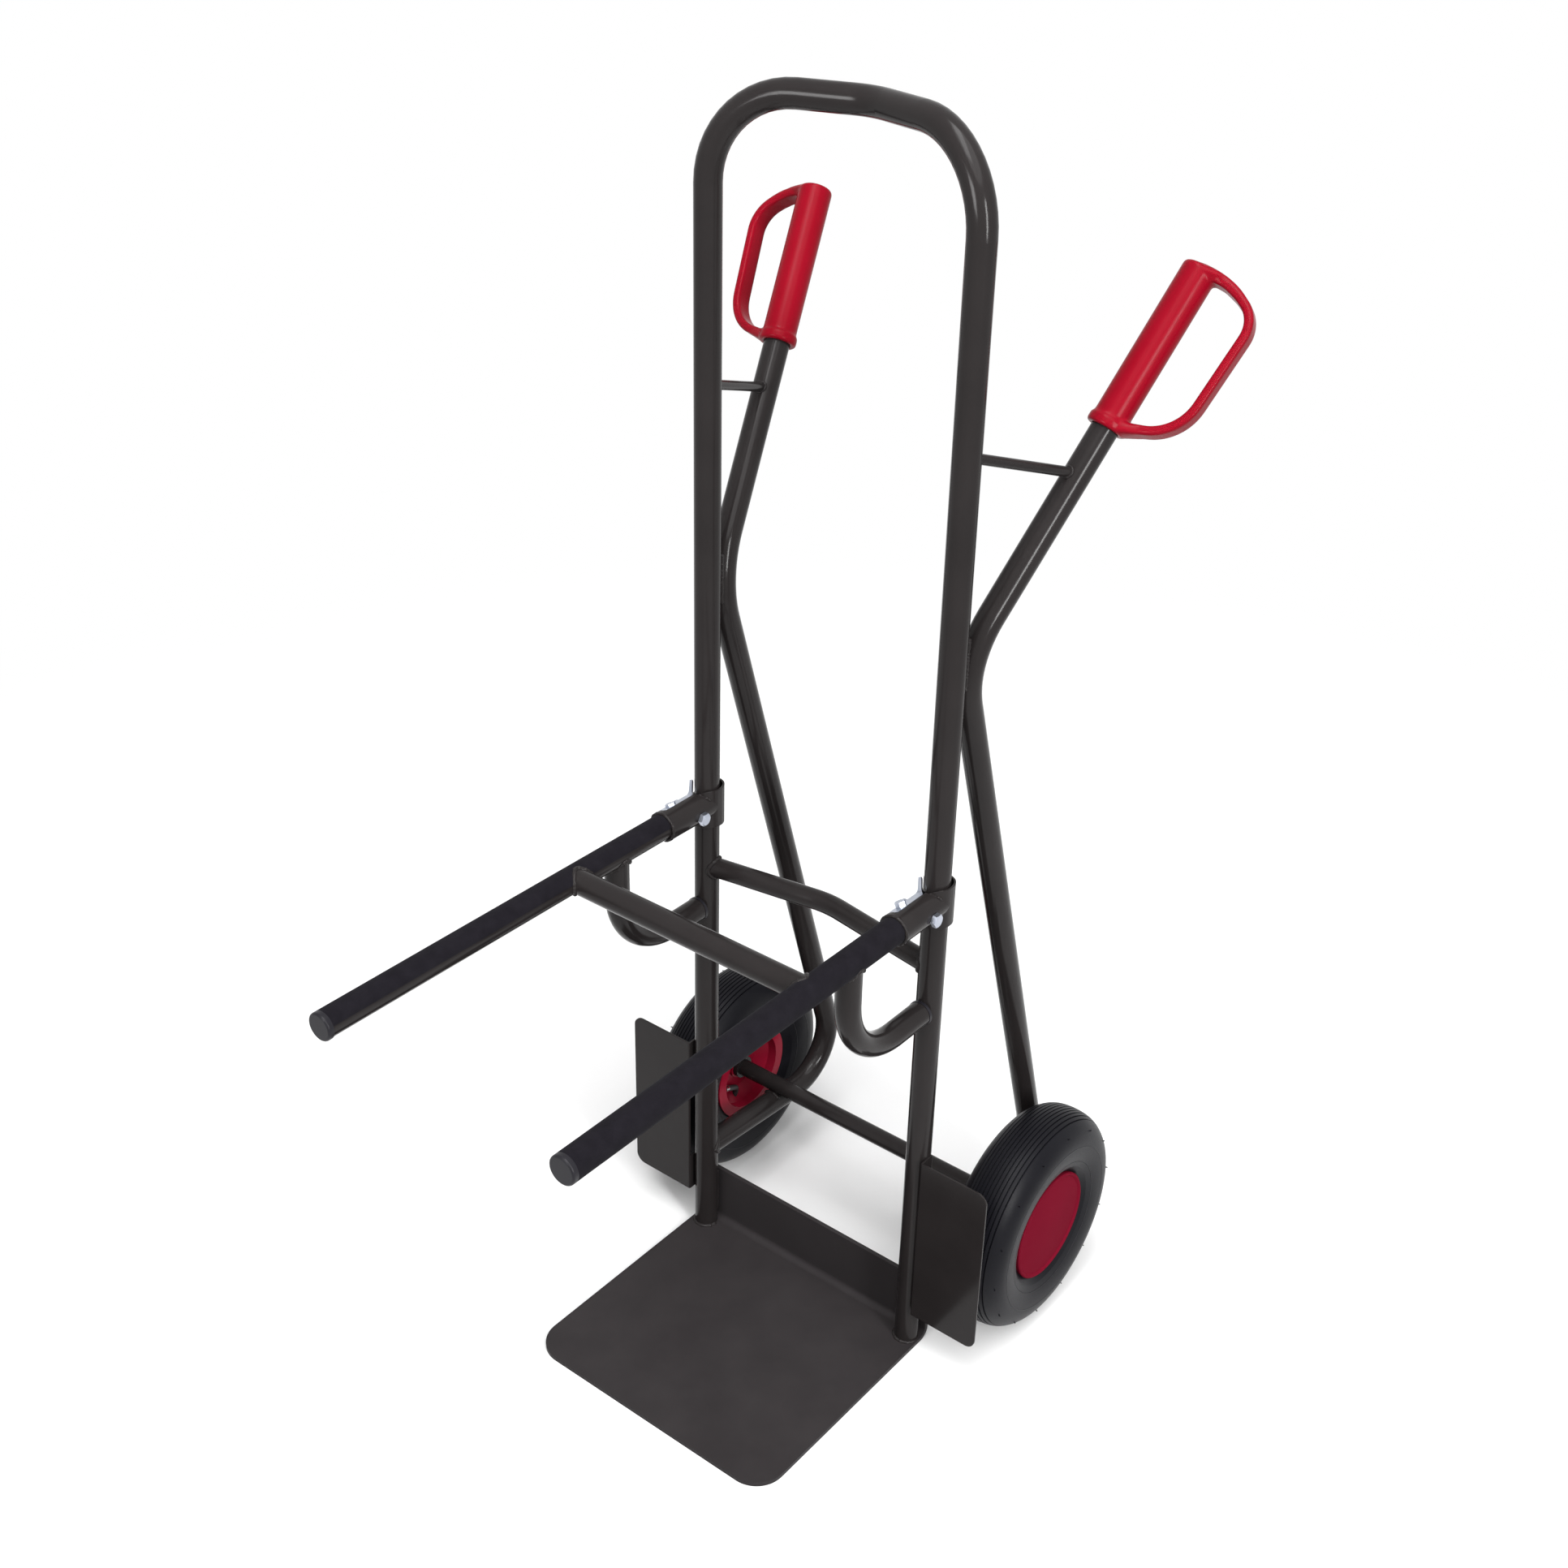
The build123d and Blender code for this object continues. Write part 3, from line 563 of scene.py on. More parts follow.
# %% Paint edges and tyre lines
PAINT_EDGE_R = 0.0009
TYRE_LINE_RADII = (0.0985, 0.0795)
TYRE_LINE_H = 0.0005


def box_middle(node):
    """Middle of a CAD piece's box."""
    low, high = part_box(node)
    return (Vector(low) + Vector(high)) / 2


def soften_edges(material):
    """Round a material's sharp edges in its shading."""
    tree = material.node_tree
    bevel = add_node(tree, "ShaderNodeBevel", {"Radius": PAINT_EDGE_R}, samples=6)
    tree.links.new(bevel.outputs["Normal"], tree.nodes["relief"].inputs["Normal"])


def add_mould_lines(material, axle_middle):
    """Raise the two circles of the tyre mould under a material's grain."""
    tree = material.node_tree
    rings = add_node(tree, "ShaderNodeGroup", node_tree=ring_group)
    rings.inputs["Axle Y"].default_value = axle_middle.y
    rings.inputs["Axle Z"].default_value = axle_middle.z
    rings.inputs["First Radius"].default_value = TYRE_LINE_RADII[0]
    rings.inputs["Second Radius"].default_value = TYRE_LINE_RADII[1]
    raised = add_node(tree, "ShaderNodeBump", {"Strength": 1.0, "Distance": TYRE_LINE_H})
    tree.links.new(rings.outputs["Rings"], raised.inputs["Height"])
    tree.links.new(raised.outputs["Normal"], tree.nodes["relief"].inputs["Normal"])


axle_middle = box_middle("axle")
soften_edges(finishes["frame_paint"])
soften_edges(finishes["plate_paint"])
add_mould_lines(finishes["tyre_black"], axle_middle)
print("axle middle:", [round(value, 4) for value in axle_middle])

# %% [markdown]
# ## Where the welds run
#
# Each tube end is cut to fit the tube it meets, and the bead follows that cut. For a branch tube leaving
# a main tube, a point of the cut lies on the branch's surface and, at the same time, at the main tube's
# radius from the main axis. Going round the branch and solving for the distance along it gives the whole
# line. Sheets have short straight stitches instead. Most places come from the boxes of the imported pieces;
# what a box can't tell, such as a slope or the middle of a joint, is written down as the drawing has it.


# %% Seam lines
def tee_seam(centre, branch, branch_r, main, main_r, steps=44):
    """Closed line where a branch tube leaves a main tube; both axes pass through the centre."""
    branch = branch.normalized()
    main = main.normalized()
    across = branch.cross(main).normalized()
    along = across.cross(branch)
    flat_branch = branch - main * branch.dot(main)
    points = []
    for step in range(steps):
        angle = math.tau * step / steps
        offset = (across * math.cos(angle) + along * math.sin(angle)) * branch_r
        flat = offset - main * offset.dot(main)
        half = flat_branch.dot(flat)
        rest = half**2 - flat_branch.length_squared * (flat.length_squared - main_r**2)
        reach = (math.sqrt(max(rest, 0)) - half) / flat_branch.length_squared
        points.append(centre + branch * reach + offset)
    return points


def ring_seam(centre, axis, start, radius, turn=math.tau, steps=44):
    """Line round an axis from a start direction, closed if it goes all the way."""
    side = axis.cross(start)
    count = steps if turn == math.tau else steps + 1
    angles = [turn * step / steps for step in range(count)]
    return [centre + (start * math.cos(angle) + side * math.sin(angle)) * radius for angle in angles]


def line_seam(start, end, steps=8):
    """Straight line between two points."""
    return [start.lerp(end, step / steps) for step in range(steps + 1)]


def saddle_seam(x, y, z, half_length, tube_r, steps=10):
    """Line under the axle, over the round back of a tube that runs along Y."""
    points = []
    for step in range(steps + 1):
        offset = half_length * (2 * step / steps - 1)
        points.append(Vector((x + offset, y, z - tube_r + math.sqrt(tube_r**2 - offset**2))))
    return points


# %% Tubes that are welded
TUBE_R = 0.0135
ALONG_X = Vector((1, 0, 0))
ALONG_Y = Vector((0, 1, 0))
ALONG_Z = Vector((0, 0, 1))
BRACE_R = 0.005
BRACE_TOP_Z = 1.043
HANDLE_JOINT = Vector((0.184, 0.1325, 1.0))
# Only the direction of the handle's rise counts.
HANDLE_RISE = Vector((32.6, 108.3, 150.0))
RAIL_BOW = 0.024
RUN_SLOPE = -0.084
FOOT_JOINT_Z = 0.1183
PLATE_T = 0.005


def box_size(node):
    """Width, depth and height of a CAD piece's box."""
    low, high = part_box(node)
    return Vector(high) - Vector(low)


upright_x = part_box("main_hoop")[1][0] - TUBE_R
arm_z = box_middle("right_fork_arm").z
rail_z = box_middle("cross_rail").z
rail_r = box_size("cross_rail").z / 2
cross_y = box_middle("fork_cross_tube").y
cross_r = box_size("fork_cross_tube").z / 2
stay_r = box_size("right_fork_stay").x / 2
stay_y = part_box("right_fork_stay")[0][1] + stay_r
sleeve_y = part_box("right_bracket")[0][1]
print("uprights at x", round(upright_x, 4), "arms at z", round(arm_z, 4), "stays at y", round(stay_y, 4))

# %% [markdown]
# ## Laying the beads
#
# A weld bead is a row of overlapping ripples, each the edge of a small pool that froze before the next
# one. The seam lines become curves, points are spaced along them, and one flattened ball per point makes
# the ripple. A little unevenness in size and place keeps it hand-made. The tree ends in a plain mesh, one
# for the frame and one for the fork, so each moves with its own tubes.

# %% Seams of the frame and of the fork
LARGE_BEAD = 0.0026
SMALL_BEAD = 0.0018
STITCH_OFFSET = 0.007
KNEE_SPAN = (0.815, 0.865)
FLANGE_SPAN = (0.018, 0.074)
FLANGE_STITCH_Y = 0.0122
SADDLE_OFFSET = 0.0082
SADDLE_DROP = 0.0088
SADDLE_HALF_LENGTH = 0.009
GUARD_STITCHES = ((0.062, 0.092), (0.216, 0.252))
GUARD_STITCH_Y = 0.0043
GUARD_STITCH_SINK = 0.0002
SLEEVE_BEAD_R = 0.0152
SLEEVE_BEAD_GAP = 0.0003
COLLAR_R = 0.0166
TACK_START_DEGREES = 42
TACK_TURN_DEGREES = 8
TACK_POINTS = 4


def frame_seams(side):
    """Seams of one side of the frame; side is 1 on the right and -1 on the left."""
    x = side * upright_x
    upright = Vector((x, 0, 0))
    brace_top = Vector((x, 0, BRACE_TOP_Z))
    mirror = Vector((side, 1, 1))
    handle_joint = HANDLE_JOINT * mirror
    handle_rise = HANDLE_RISE * mirror
    brace_way = handle_joint - brace_top
    rail_way = Vector((-x, RAIL_BOW, 0))
    run_way = Vector((0, 1, RUN_SLOPE))
    seams = [
        (tee_seam(upright + ALONG_Z * rail_z, rail_way, rail_r, ALONG_Z, TUBE_R), LARGE_BEAD, True),
        (tee_seam(brace_top, brace_way, BRACE_R, ALONG_Z, TUBE_R), SMALL_BEAD, True),
        (tee_seam(handle_joint, -brace_way, BRACE_R, handle_rise, TUBE_R), SMALL_BEAD, True),
        (tee_seam(upright + ALONG_Z * FOOT_JOINT_Z, run_way, TUBE_R, ALONG_Z, TUBE_R), LARGE_BEAD, True),
        (ring_seam(upright + ALONG_Z * PLATE_T, ALONG_Z, -ALONG_X, TUBE_R, math.pi), LARGE_BEAD, False),
    ]
    for offset in (-STITCH_OFFSET, STITCH_OFFSET):
        knee = [Vector((x + offset, TUBE_R, z)) for z in KNEE_SPAN]
        flange = [Vector((x + offset, FLANGE_STITCH_Y, z)) for z in FLANGE_SPAN]
        seams.append((line_seam(*knee), LARGE_BEAD, False))
        seams.append((line_seam(*flange), SMALL_BEAD, False))
    saddle_z = axle_middle.z - SADDLE_DROP
    for offset in (-SADDLE_OFFSET, SADDLE_OFFSET):
        saddle = saddle_seam(x, axle_middle.y + offset, saddle_z, SADDLE_HALF_LENGTH, TUBE_R)
        seams.append((saddle, LARGE_BEAD, False))
    tab_x = side * (upright_x + TUBE_R - GUARD_STITCH_SINK)
    for stitch in GUARD_STITCHES:
        tab = [Vector((tab_x, GUARD_STITCH_Y, z)) for z in stitch]
        seams.append((line_seam(*tab), SMALL_BEAD, False))
    return seams


def fork_seams(side):
    """Seams of one fork arm; the brackets are the same part on both sides."""
    x = side * upright_x
    arm = Vector((x, 0, arm_z))
    inward = Vector((-side, 0, 0))
    sleeve_end = arm + ALONG_Y * (sleeve_y - SLEEVE_BEAD_GAP)
    seams = [
        (tee_seam(arm + ALONG_Y * cross_y, inward, cross_r, ALONG_Y, TUBE_R), LARGE_BEAD, True),
        (tee_seam(arm + ALONG_Y * stay_y, -ALONG_Z, stay_r, ALONG_Y, TUBE_R), LARGE_BEAD, True),
        (ring_seam(sleeve_end, ALONG_Y, ALONG_X, SLEEVE_BEAD_R), SMALL_BEAD, True),
    ]
    tack = []
    for step in range(TACK_POINTS):
        angle = math.radians(TACK_START_DEGREES + TACK_TURN_DEGREES * step / (TACK_POINTS - 1))
        rise = COLLAR_R * math.sin(angle)
        tack.append(arm + Vector((COLLAR_R * math.cos(angle), -rise, rise)))
    seams.append((tack, SMALL_BEAD, False))
    return seams


def seam_mesh(name, seams):
    """One mesh of bare edges for a set of seams, with the bead's size on every point."""
    places = []
    edges = []
    sizes = []
    for points, size, closed in seams:
        first = len(places)
        last = first + len(points) - 1
        places += points
        sizes += [size] * len(points)
        edges += [(index, index + 1) for index in range(first, last)]
        if closed:
            edges.append((last, first))
    mesh = bpy.data.meshes.new(name)
    mesh.from_pydata(places, edges, [])
    mesh.attributes.new("bead_size", "FLOAT", "POINT").data.foreach_set("value", sizes)
    return mesh


# %% Bead tree
def make_bead_tree():
    """One flattened ball per point of every seam, a little uneven in size and place."""
    inputs = [
        ("Seams", GEOMETRY, None),
        ("Pitch", FLOAT, 0.0017),
        ("Ripple Length", FLOAT, 0.0021),
        ("Unevenness", FLOAT, 0.14),
        ("Wander", FLOAT, 0.0008),
        ("Paint", MATERIAL, None),
    ]
    tree, start, end = new_group("weld_bead", "GeometryNodeTree", inputs, [("Beads", GEOMETRY)])
    line = add_node(tree, "GeometryNodeMeshToCurve")
    spaced = add_node(tree, "GeometryNodeResampleCurve", mode="LENGTH")
    drift = add_node(tree, "ShaderNodeTexNoise", {"Scale": 240.0, "Detail": 1.0})
    centred = add_node(tree, "ShaderNodeVectorMath", {1: (0.5, 0.5, 0.5)}, operation="SUBTRACT")
    wander = add_node(tree, "ShaderNodeVectorMath", operation="SCALE")
    shifted = add_node(tree, "GeometryNodeSetPosition")
    size = add_node(tree, "GeometryNodeInputNamedAttribute", {"Name": "bead_size"}, data_type="FLOAT")
    least = add_node(tree, "ShaderNodeMath", {0: 1.0}, operation="SUBTRACT")
    most = add_node(tree, "ShaderNodeMath", {0: 1.0}, operation="ADD")
    chance = add_node(tree, "FunctionNodeRandomValue", {"Seed": 11}, data_type="FLOAT")
    width = add_node(tree, "ShaderNodeMath", operation="MULTIPLY")
    scale = add_node(tree, "ShaderNodeCombineXYZ")
    tangent = add_node(tree, "GeometryNodeInputTangent")
    facing = add_node(tree, "FunctionNodeAlignRotationToVector", axis="Z")
    ripple = add_node(tree, "GeometryNodeMeshUVSphere", {"Segments": 10, "Rings": 6, "Radius": 1.0})
    row = add_node(tree, "GeometryNodeInstanceOnPoints")
    solid = add_node(tree, "GeometryNodeRealizeInstances")
    smooth = add_node(tree, "GeometryNodeSetShadeSmooth")
    painted = add_node(tree, "GeometryNodeSetMaterial")
    join = tree.links.new
    join(start.outputs["Seams"], line.inputs["Mesh"])
    join(line.outputs["Curve"], spaced.inputs["Curve"])
    join(start.outputs["Pitch"], spaced.inputs["Length"])
    join(drift.outputs["Color"], centred.inputs[0])
    join(centred.outputs[0], wander.inputs[0])
    join(start.outputs["Wander"], wander.inputs["Scale"])
    join(spaced.outputs["Curve"], shifted.inputs["Geometry"])
    join(wander.outputs[0], shifted.inputs["Offset"])
    join(start.outputs["Unevenness"], least.inputs[1])
    join(start.outputs["Unevenness"], most.inputs[1])
    join(least.outputs[0], chance.inputs[RANDOM_LEAST])
    join(most.outputs[0], chance.inputs[RANDOM_MOST])
    join(size.outputs["Attribute"], width.inputs[0])
    join(chance.outputs[RANDOM_NUMBER], width.inputs[1])
    join(width.outputs[0], scale.inputs["X"])
    join(width.outputs[0], scale.inputs["Y"])
    join(start.outputs["Ripple Length"], scale.inputs["Z"])
    join(tangent.outputs[0], facing.inputs["Vector"])
    join(shifted.outputs["Geometry"], row.inputs["Points"])
    join(ripple.outputs["Mesh"], row.inputs["Instance"])
    join(facing.outputs[0], row.inputs["Rotation"])
    join(scale.outputs[0], row.inputs["Scale"])
    join(row.outputs["Instances"], solid.inputs["Geometry"])
    join(solid.outputs["Geometry"], smooth.inputs["Geometry"])
    join(smooth.outputs["Geometry"], painted.inputs["Geometry"])
    join(start.outputs["Paint"], painted.inputs["Material"])
    join(painted.outputs["Geometry"], end.inputs["Beads"])
    return tree


def plain_mesh(carrier):
    """The mesh that a carrier's modifiers make; the carrier itself is removed."""
    depsgraph = bpy.context.evaluated_depsgraph_get()
    plain = bpy.data.meshes.new_from_object(carrier.evaluated_get(depsgraph))
    bpy.data.objects.remove(carrier)
    return plain


def grow(name, mesh, tree, inputs):
    """Run a Geometry Nodes tree on a mesh and hand back the result as a plain mesh."""
    carrier = add_object(name + "_carrier", mesh)
    modifier = carrier.modifiers.new("grow", "NODES")
    modifier.node_group = tree
    for item in tree.interface.items_tree:
        if item.name in inputs:
            modifier[item.identifier] = inputs[item.name]
    return plain_mesh(carrier)


def add_piece(name, mesh, body):
    """Place a finished mesh in the scene, riding on a body."""
    mesh.name = name
    piece = add_object(name, mesh)
    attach(piece, body)
    return piece


# %% Lay the beads
bead_tree = make_bead_tree()
for body, side_seams in (("frame", frame_seams), ("fork", fork_seams)):
    seams = side_seams(1) + side_seams(-1)
    bare = seam_mesh(body + "_seams", seams)
    beads = grow(body + "_weld_beads", bare, bead_tree, {"Paint": finishes["frame_paint"]})
    add_piece(body + "_weld_beads", beads, body)
    print(body, "seams:", len(seams), "faces:", len(beads.polygons))

# %% [markdown]
# ## Bolts with cut threads
#
# The pivot bolts are common hexagon bolts. The blank's corners are turned off by a shallow cone, which
# leaves a round chamfer on the head and on both faces of the nut, and the thread is rolled as a spiral
# groove. Here a bolt is a stack of rings along its axis: each ring is round, hexagonal or wavy, and a
# wave that shifts with the angle makes the spiral.

# %% Bolt shapes
BOLT_STEPS = 48
BOLT_FLATS = 0.013
BOLT_R = 0.004
BOLT_HEAD_H = 0.0053
THREAD_PITCH = 0.00125
THREAD_DEPTH = 0.0007
THREAD_RINGS_PER_PITCH = 8
CHAMFER_SHARE = 0.93
CHAMFER_SLOPE = math.tan(math.radians(30))


def hexagon(angle):
    """Distance from the axis to the side of the hexagon."""
    turn = (angle + math.pi / 6) % (math.pi / 3) - math.pi / 6
    return BOLT_FLATS / 2 / math.cos(turn)


def hex_rings(low, high, chamfer_low, chamfer_high):
    """Rings of a hexagonal block along the axis, with its corners turned off at the chosen ends."""
    face_r = BOLT_FLATS / 2 * CHAMFER_SHARE
    rings = []
    for end, inward, chamfered in ((low, 1, chamfer_low), (high, -1, chamfer_high)):
        face = [(end, face_r)] * BOLT_STEPS
        sides = []
        for step in range(BOLT_STEPS):
            radius = hexagon(math.tau * step / BOLT_STEPS)
            drop = (radius - face_r) * CHAMFER_SLOPE if chamfered else 0
            sides.append((end + inward * drop, radius))
        rings += [face, sides] if end == low else [sides, face]
    return rings


def thread_rings(low, high):
    """Rings of a threaded end, its groove moving along the axis with the angle."""
    count = round((high - low) / THREAD_PITCH * THREAD_RINGS_PER_PITCH)
    rings = [[(low, BOLT_R - THREAD_DEPTH)] * BOLT_STEPS]
    for index in range(1, count + 1):
        along = low + (high - low) * index / count
        ring = []
        for step in range(BOLT_STEPS):
            wave = math.cos(math.tau * (along / THREAD_PITCH - step / BOLT_STEPS))
            ring.append((along, BOLT_R - THREAD_DEPTH * (0.5 - 0.5 * wave)))
        rings.append(ring)
    return rings


def stack_mesh(name, rings, middle):
    """A closed mesh from rings along X, through a middle line."""
    places = []
    for ring in rings:
        for step, (along, radius) in enumerate(ring):
            angle = math.tau * step / BOLT_STEPS
            places.append((along, middle.y + radius * math.sin(angle), middle.z + radius * math.cos(angle)))
    faces = []
    for index in range(len(rings) - 1):
        for step in range(BOLT_STEPS):
            here = index * BOLT_STEPS + step
            beside = index * BOLT_STEPS + (step + 1) % BOLT_STEPS
            faces.append((here, beside, beside + BOLT_STEPS, here + BOLT_STEPS))
    last = (len(rings) - 1) * BOLT_STEPS
    faces.append(tuple(reversed(range(BOLT_STEPS))))
    faces.append(tuple(range(last, last + BOLT_STEPS)))
    mesh = bpy.data.meshes.new(name)
    mesh.from_pydata(places, [], faces)
    mesh.materials.append(finishes["zinc"])
    return mesh


# %% Pivot bolts and nuts
for side in ("right", "left"):
    bolt_node = side + "_pivot_bolt"
    nut_node = side + "_pivot_nut"
    bolt_low, bolt_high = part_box(bolt_node)
    nut_low, nut_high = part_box(nut_node)
    rings = thread_rings(bolt_low[0], nut_low[0])
    rings += hex_rings(nut_low[0], nut_high[0], True, True)
    rings += [[(along, BOLT_R)] * BOLT_STEPS for along in (nut_high[0], bolt_high[0] - BOLT_HEAD_H)]
    rings += hex_rings(bolt_high[0] - BOLT_HEAD_H, bolt_high[0], False, True)
    bolt_mesh = stack_mesh(side + "_bolt_and_nut", rings, box_middle(bolt_node))
    bolt = add_piece(side + "_bolt_and_nut", bolt_mesh, "fork_slider")
    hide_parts(bolt_node, nut_node)
    print(bolt.name, "rings:", len(rings), "faces:", len(bolt_mesh.polygons))

# %% [markdown]
# ## Moulded grips
#
# A grip is one soft plastic moulding: a sleeve with a ring at its foot and a loop that guards the
# knuckles. A mould has no knife-sharp inner corners, so the loop spreads like a fan where it springs from
# the sleeve's top and from the ring. Each fan is the tight skin around arcs of the sleeve and slices of
# the loop, and a bow of slices gives the loop its full, rounded crest between the sleeve's top and the
# outer strap.
#
# A fine voxel skin then joins all of these. It is swollen, skinned again and shrunk back by the same
# amount: the swelling closes the inner corners, the shrinking leaves them filled, and a little smoothing
# rounds the rest.

# %% Grip roots
LOOP_TURN = math.radians(9.3)
LOOP_HALF_W = 0.0088
LOOP_HALF_T = 0.004
ARC_STEPS = 24
# An arc is its reach along the handle, its radius and half of its turn.
TOP_ARCS = ((0.2085, 0.017, math.pi), (0.211, 0.0168, math.pi), (0.2138, 0.015, math.pi))
RING_ARCS = ((0.0475, 0.0185, 0.72), (0.049, 0.0194, 0.75), (0.0545, 0.0194, 0.75))
# A point of the crest is its distance from the handle's axis and its reach; a slice adds its slope.
TOP_CREST = [Vector(point) for point in ((0.004, 0.2126), (0.0403, 0.2136), (0.0615, 0.1945))]
TOP_STEPS = 9
TOP_FAN_STEPS = 4
RING_SLICES = ((0.036, 0.0608, 0.29),)


def handle_axes(side):
    """A point on one handle's axis, the way along it, the way its loop stands out, and the way across."""
    mirror = Vector((side, 1, 1))
    along = HANDLE_RISE.normalized()
    outward = (ALONG_X - along * along.x).normalized()
    outward.rotate(Quaternion(along, LOOP_TURN))
    across = along.cross(outward)
    return [way * mirror for way in (HANDLE_JOINT, along, outward, across)]


def crest_slices(crest, steps):
    """Places and slopes of slices along the bow between a crest's ends."""
    first, bend, last = crest
    slices = []
    for step in range(steps):
        share = step / (steps - 1)
        start = first.lerp(bend, share)
        end = bend.lerp(last, share)
        place = start.lerp(end, share)
        slices.append((place.x, place.y, (end.y - start.y) / (end.x - start.x)))
    return slices


def fan_points(axes, arcs, slices, below):
    """Points of arcs round the handle, and of slices of the loop that reach some way below its middle."""
    joint, along, outward, across = axes
    points = []
    for reach, radius, half_turn in arcs:
        for step in range(ARC_STEPS + 1):
            angle = half_turn * (2 * step / ARC_STEPS - 1)
            spoke = outward * math.cos(angle) + across * math.sin(angle)
            points.append(joint + along * reach + spoke * radius)
    for offset, reach, slope in slices:
        middle = joint + along * reach + outward * offset
        upward = (along - outward * slope).normalized()
        for width in (across * LOOP_HALF_W, across * -LOOP_HALF_W):
            points += [middle + width + upward * LOOP_HALF_T, middle + width - upward * below]
    return points


def add_hull(shape, points):
    """Add the tight skin around some points to a shape."""
    hull = bmesh.new()
    for point in points:
        hull.verts.new(point)
    bmesh.ops.convex_hull(hull, input=hull.verts)
    inside = [corner for corner in hull.verts if not corner.link_faces]
    bmesh.ops.delete(hull, geom=inside, context="VERTS")
    mesh = bpy.data.meshes.new("fan")
    hull.to_mesh(mesh)
    hull.free()
    shape.from_mesh(mesh)
    bpy.data.meshes.remove(mesh)


# %% Moulded grips
GRIP_VOXEL = 0.001
GRIP_FILL = 0.0016
GRIP_SMOOTHING = 4
SMOOTHING_SHARE = 0.5
MERGE_GAP = 1e-6


def drawn_grip(node, name, side):
    """A copy of the CAD grip with its loose triangles joined, and the crest and fans of its loop."""
    shape = bmesh.new()
    shape.from_mesh(nodes[node].data)
    bmesh.ops.remove_doubles(shape, verts=shape.verts, dist=MERGE_GAP)
    axes = handle_axes(side)
    crest = crest_slices(TOP_CREST, TOP_STEPS)
    add_hull(shape, fan_points(axes, (), crest, 0))
    add_hull(shape, fan_points(axes, TOP_ARCS, crest[:TOP_FAN_STEPS], 0))
    add_hull(shape, fan_points(axes, RING_ARCS, RING_SLICES, LOOP_HALF_T))
    mesh = bpy.data.meshes.new(name)
    shape.to_mesh(mesh)
    shape.free()
    return mesh


def add_skin(carrier):
    """Wrap a shape in one closed skin."""
    skin = carrier.modifiers.new("skin", "REMESH")
    skin.mode = "VOXEL"
    skin.voxel_size = GRIP_VOXEL


def add_swelling(carrier, distance):
    """Move a skin outward, or inward with a negative distance."""
    swelling = carrier.modifiers.new("swelling", "DISPLACE")
    swelling.mid_level = 0
    swelling.strength = distance


def add_smoothing(carrier):
    """Even out a skin's small steps."""
    smoothing = carrier.modifiers.new("smoothing", "SMOOTH")
    smoothing.factor = SMOOTHING_SHARE
    smoothing.iterations = GRIP_SMOOTHING


def mould(drawn, name):
    """A drawn shape as one even skin with filled inner corners."""
    carrier = add_object(name + "_carrier", drawn)
    add_skin(carrier)
    add_smoothing(carrier)
    add_swelling(carrier, GRIP_FILL)
    add_skin(carrier)
    add_smoothing(carrier)
    add_swelling(carrier, -GRIP_FILL)
    add_smoothing(carrier)
    plain = plain_mesh(carrier)
    plain.materials.clear()
    plain.materials.append(finishes["grip_red"])
    plain.shade_smooth()
    return plain


for name, side in (("right", 1), ("left", -1)):
    grip_node = name + "_grip"
    grip_mesh = mould(drawn_grip(grip_node, name + "_drawn_grip", side), name)
    grip = add_piece(name + "_moulded_grip", grip_mesh, "frame")
    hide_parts(grip_node)
    print(grip.name, "faces:", len(grip_mesh.polygons))

# %% [markdown]
# ## Mould nibs on the tyres
#
# Rubber fills a tyre mould through small vent holes, and the rubber that enters them stays behind as thin
# hairs on the shoulder. A ring of points carries one tapered nib each, pointing out of the surface.

# %% Nib tree
NIB_COUNT = 14
NIB_SIDES = 7
NIB_START = 0.3
NIB_RING_R = 0.116
NIB_RING_OUT = 0.034


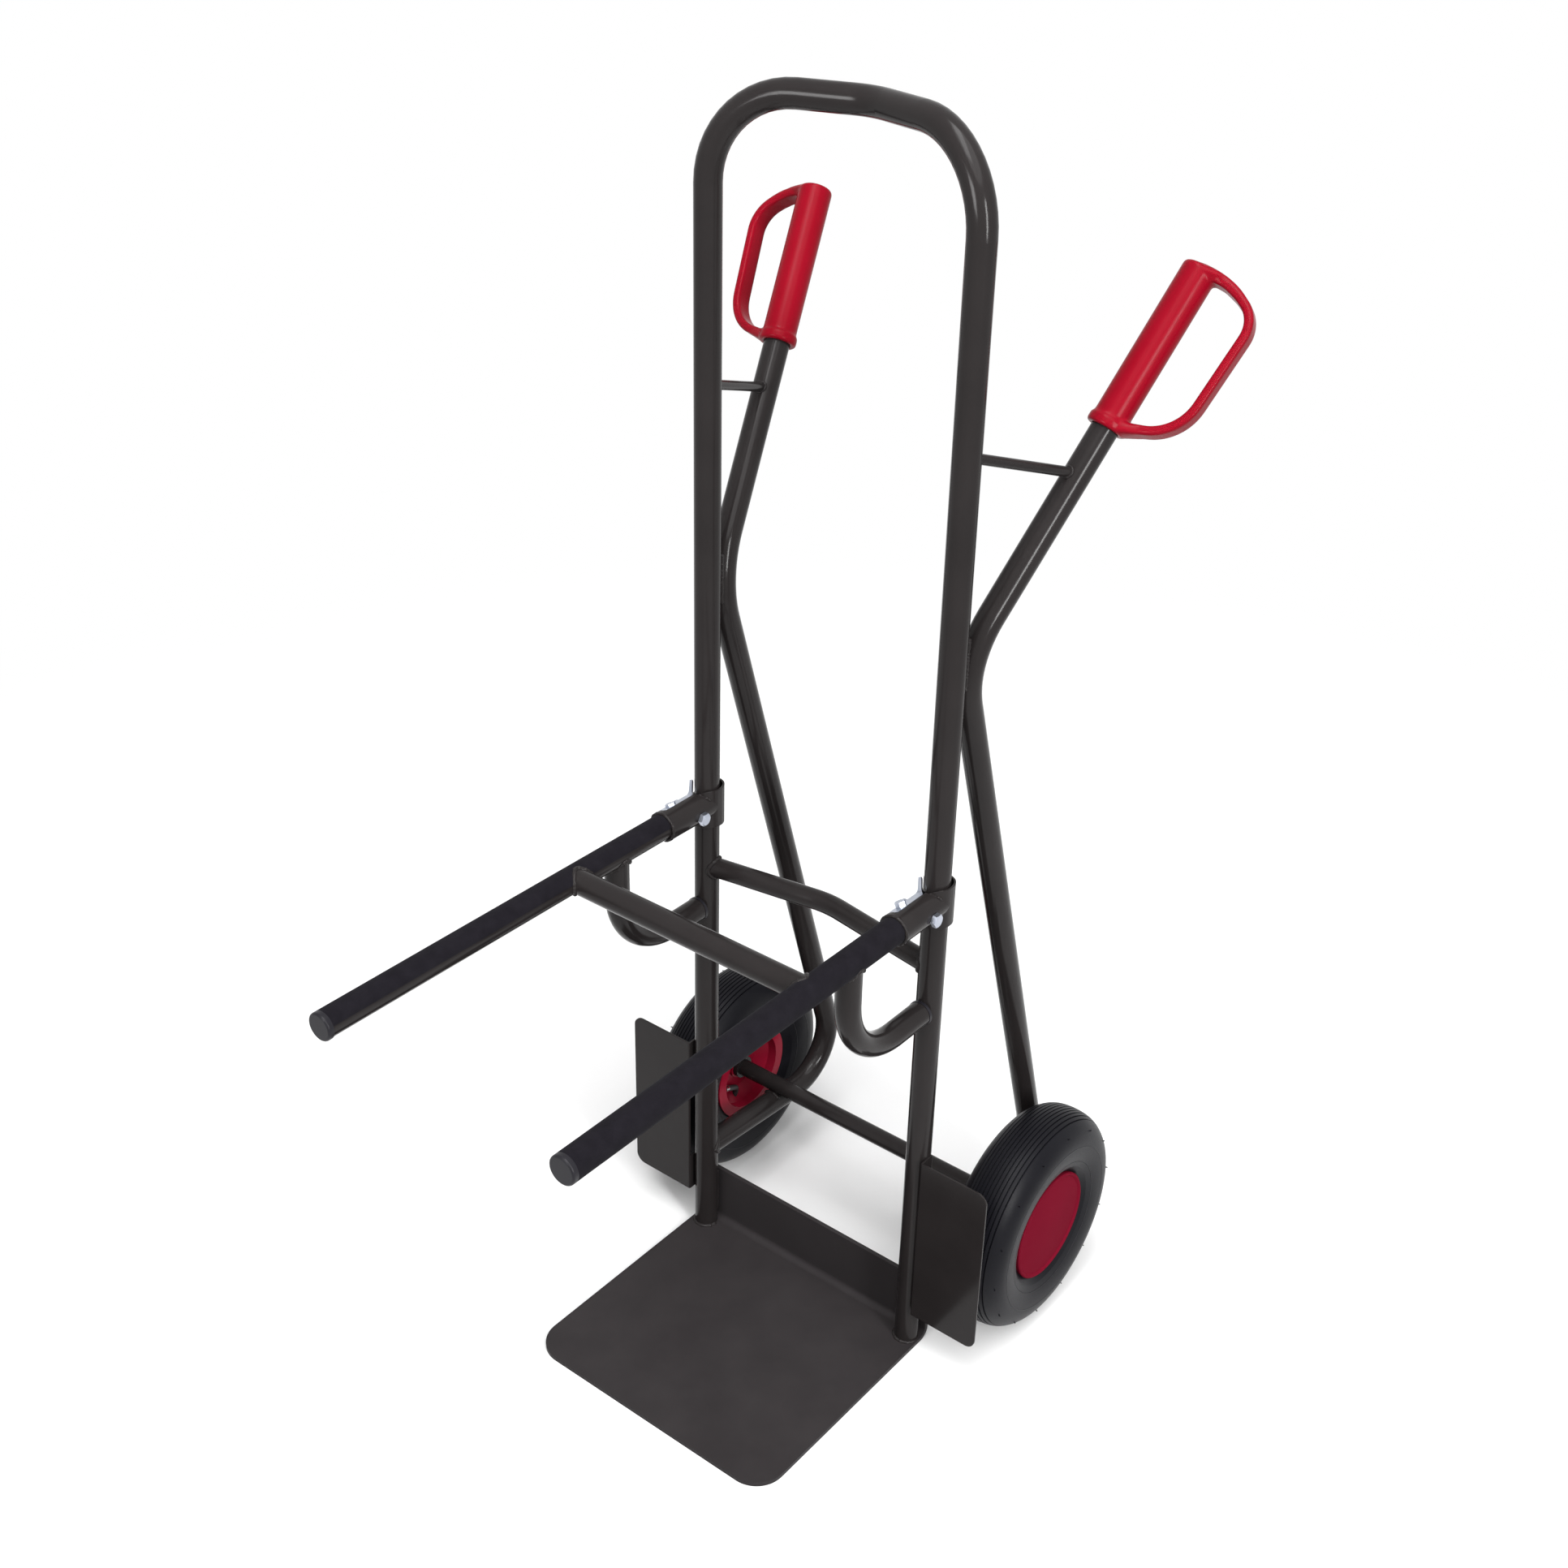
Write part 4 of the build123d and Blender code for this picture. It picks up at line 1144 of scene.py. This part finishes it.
def make_nib_tree():
    """One tapered nib per place, standing the way that the place tells."""
    inputs = [
        ("Places", GEOMETRY, None),
        ("Length", FLOAT, 0.0022),
        ("Foot", FLOAT, 0.0008),
        ("Tip", FLOAT, 0.0005),
        ("Rubber", MATERIAL, None),
    ]
    tree, start, end = new_group("mould_nibs", "GeometryNodeTree", inputs, [("Nibs", GEOMETRY)])
    way = add_node(tree, "GeometryNodeInputNamedAttribute", {"Name": "nib_way"}, data_type="FLOAT_VECTOR")
    facing = add_node(tree, "FunctionNodeAlignRotationToVector", axis="Z")
    nib = add_node(tree, "GeometryNodeMeshCone", {"Vertices": NIB_SIDES})
    row = add_node(tree, "GeometryNodeInstanceOnPoints")
    solid = add_node(tree, "GeometryNodeRealizeInstances")
    coated = add_node(tree, "GeometryNodeSetMaterial")
    join = tree.links.new
    join(start.outputs["Length"], nib.inputs["Depth"])
    join(start.outputs["Foot"], nib.inputs["Radius Bottom"])
    join(start.outputs["Tip"], nib.inputs["Radius Top"])
    join(start.outputs["Places"], row.inputs["Points"])
    join(way.outputs["Attribute"], facing.inputs["Vector"])
    join(facing.outputs[0], row.inputs["Rotation"])
    join(nib.outputs["Mesh"], row.inputs["Instance"])
    join(row.outputs["Instances"], solid.inputs["Geometry"])
    join(solid.outputs["Geometry"], coated.inputs["Geometry"])
    join(start.outputs["Rubber"], coated.inputs["Material"])
    join(coated.outputs["Geometry"], end.inputs["Nibs"])
    return tree


def nib_places(name, side):
    """Bare points round one tyre's outer shoulder, each with the way its nib points."""
    tyre = nodes[name + "_tyre"]
    middle = box_middle(name + "_tyre")
    places = []
    ways = []
    for step in range(NIB_COUNT):
        angle = math.tau * (step + NIB_START) / NIB_COUNT
        spoke = Vector((0, math.sin(angle), math.cos(angle)))
        near = middle + spoke * NIB_RING_R + ALONG_X * side * NIB_RING_OUT
        _, place, way, _ = tyre.closest_point_on_mesh(near)
        places.append(place)
        ways.extend(way)
    mesh = bpy.data.meshes.new(name + "_nib_places")
    mesh.from_pydata(places, [], [])
    mesh.attributes.new("nib_way", "FLOAT_VECTOR", "POINT").data.foreach_set("vector", ways)
    return mesh


# %% Grow the nibs
nib_tree = make_nib_tree()
for name, side in (("right", 1), ("left", -1)):
    places = nib_places(name, side)
    nibs = grow(name + "_tyre_nibs", places, nib_tree, {"Rubber": finishes["tyre_black"]})
    add_piece(name + "_tyre_nibs", nibs, name + "_wheel")
    print(name, "nibs:", NIB_COUNT, "faces:", len(nibs.polygons))
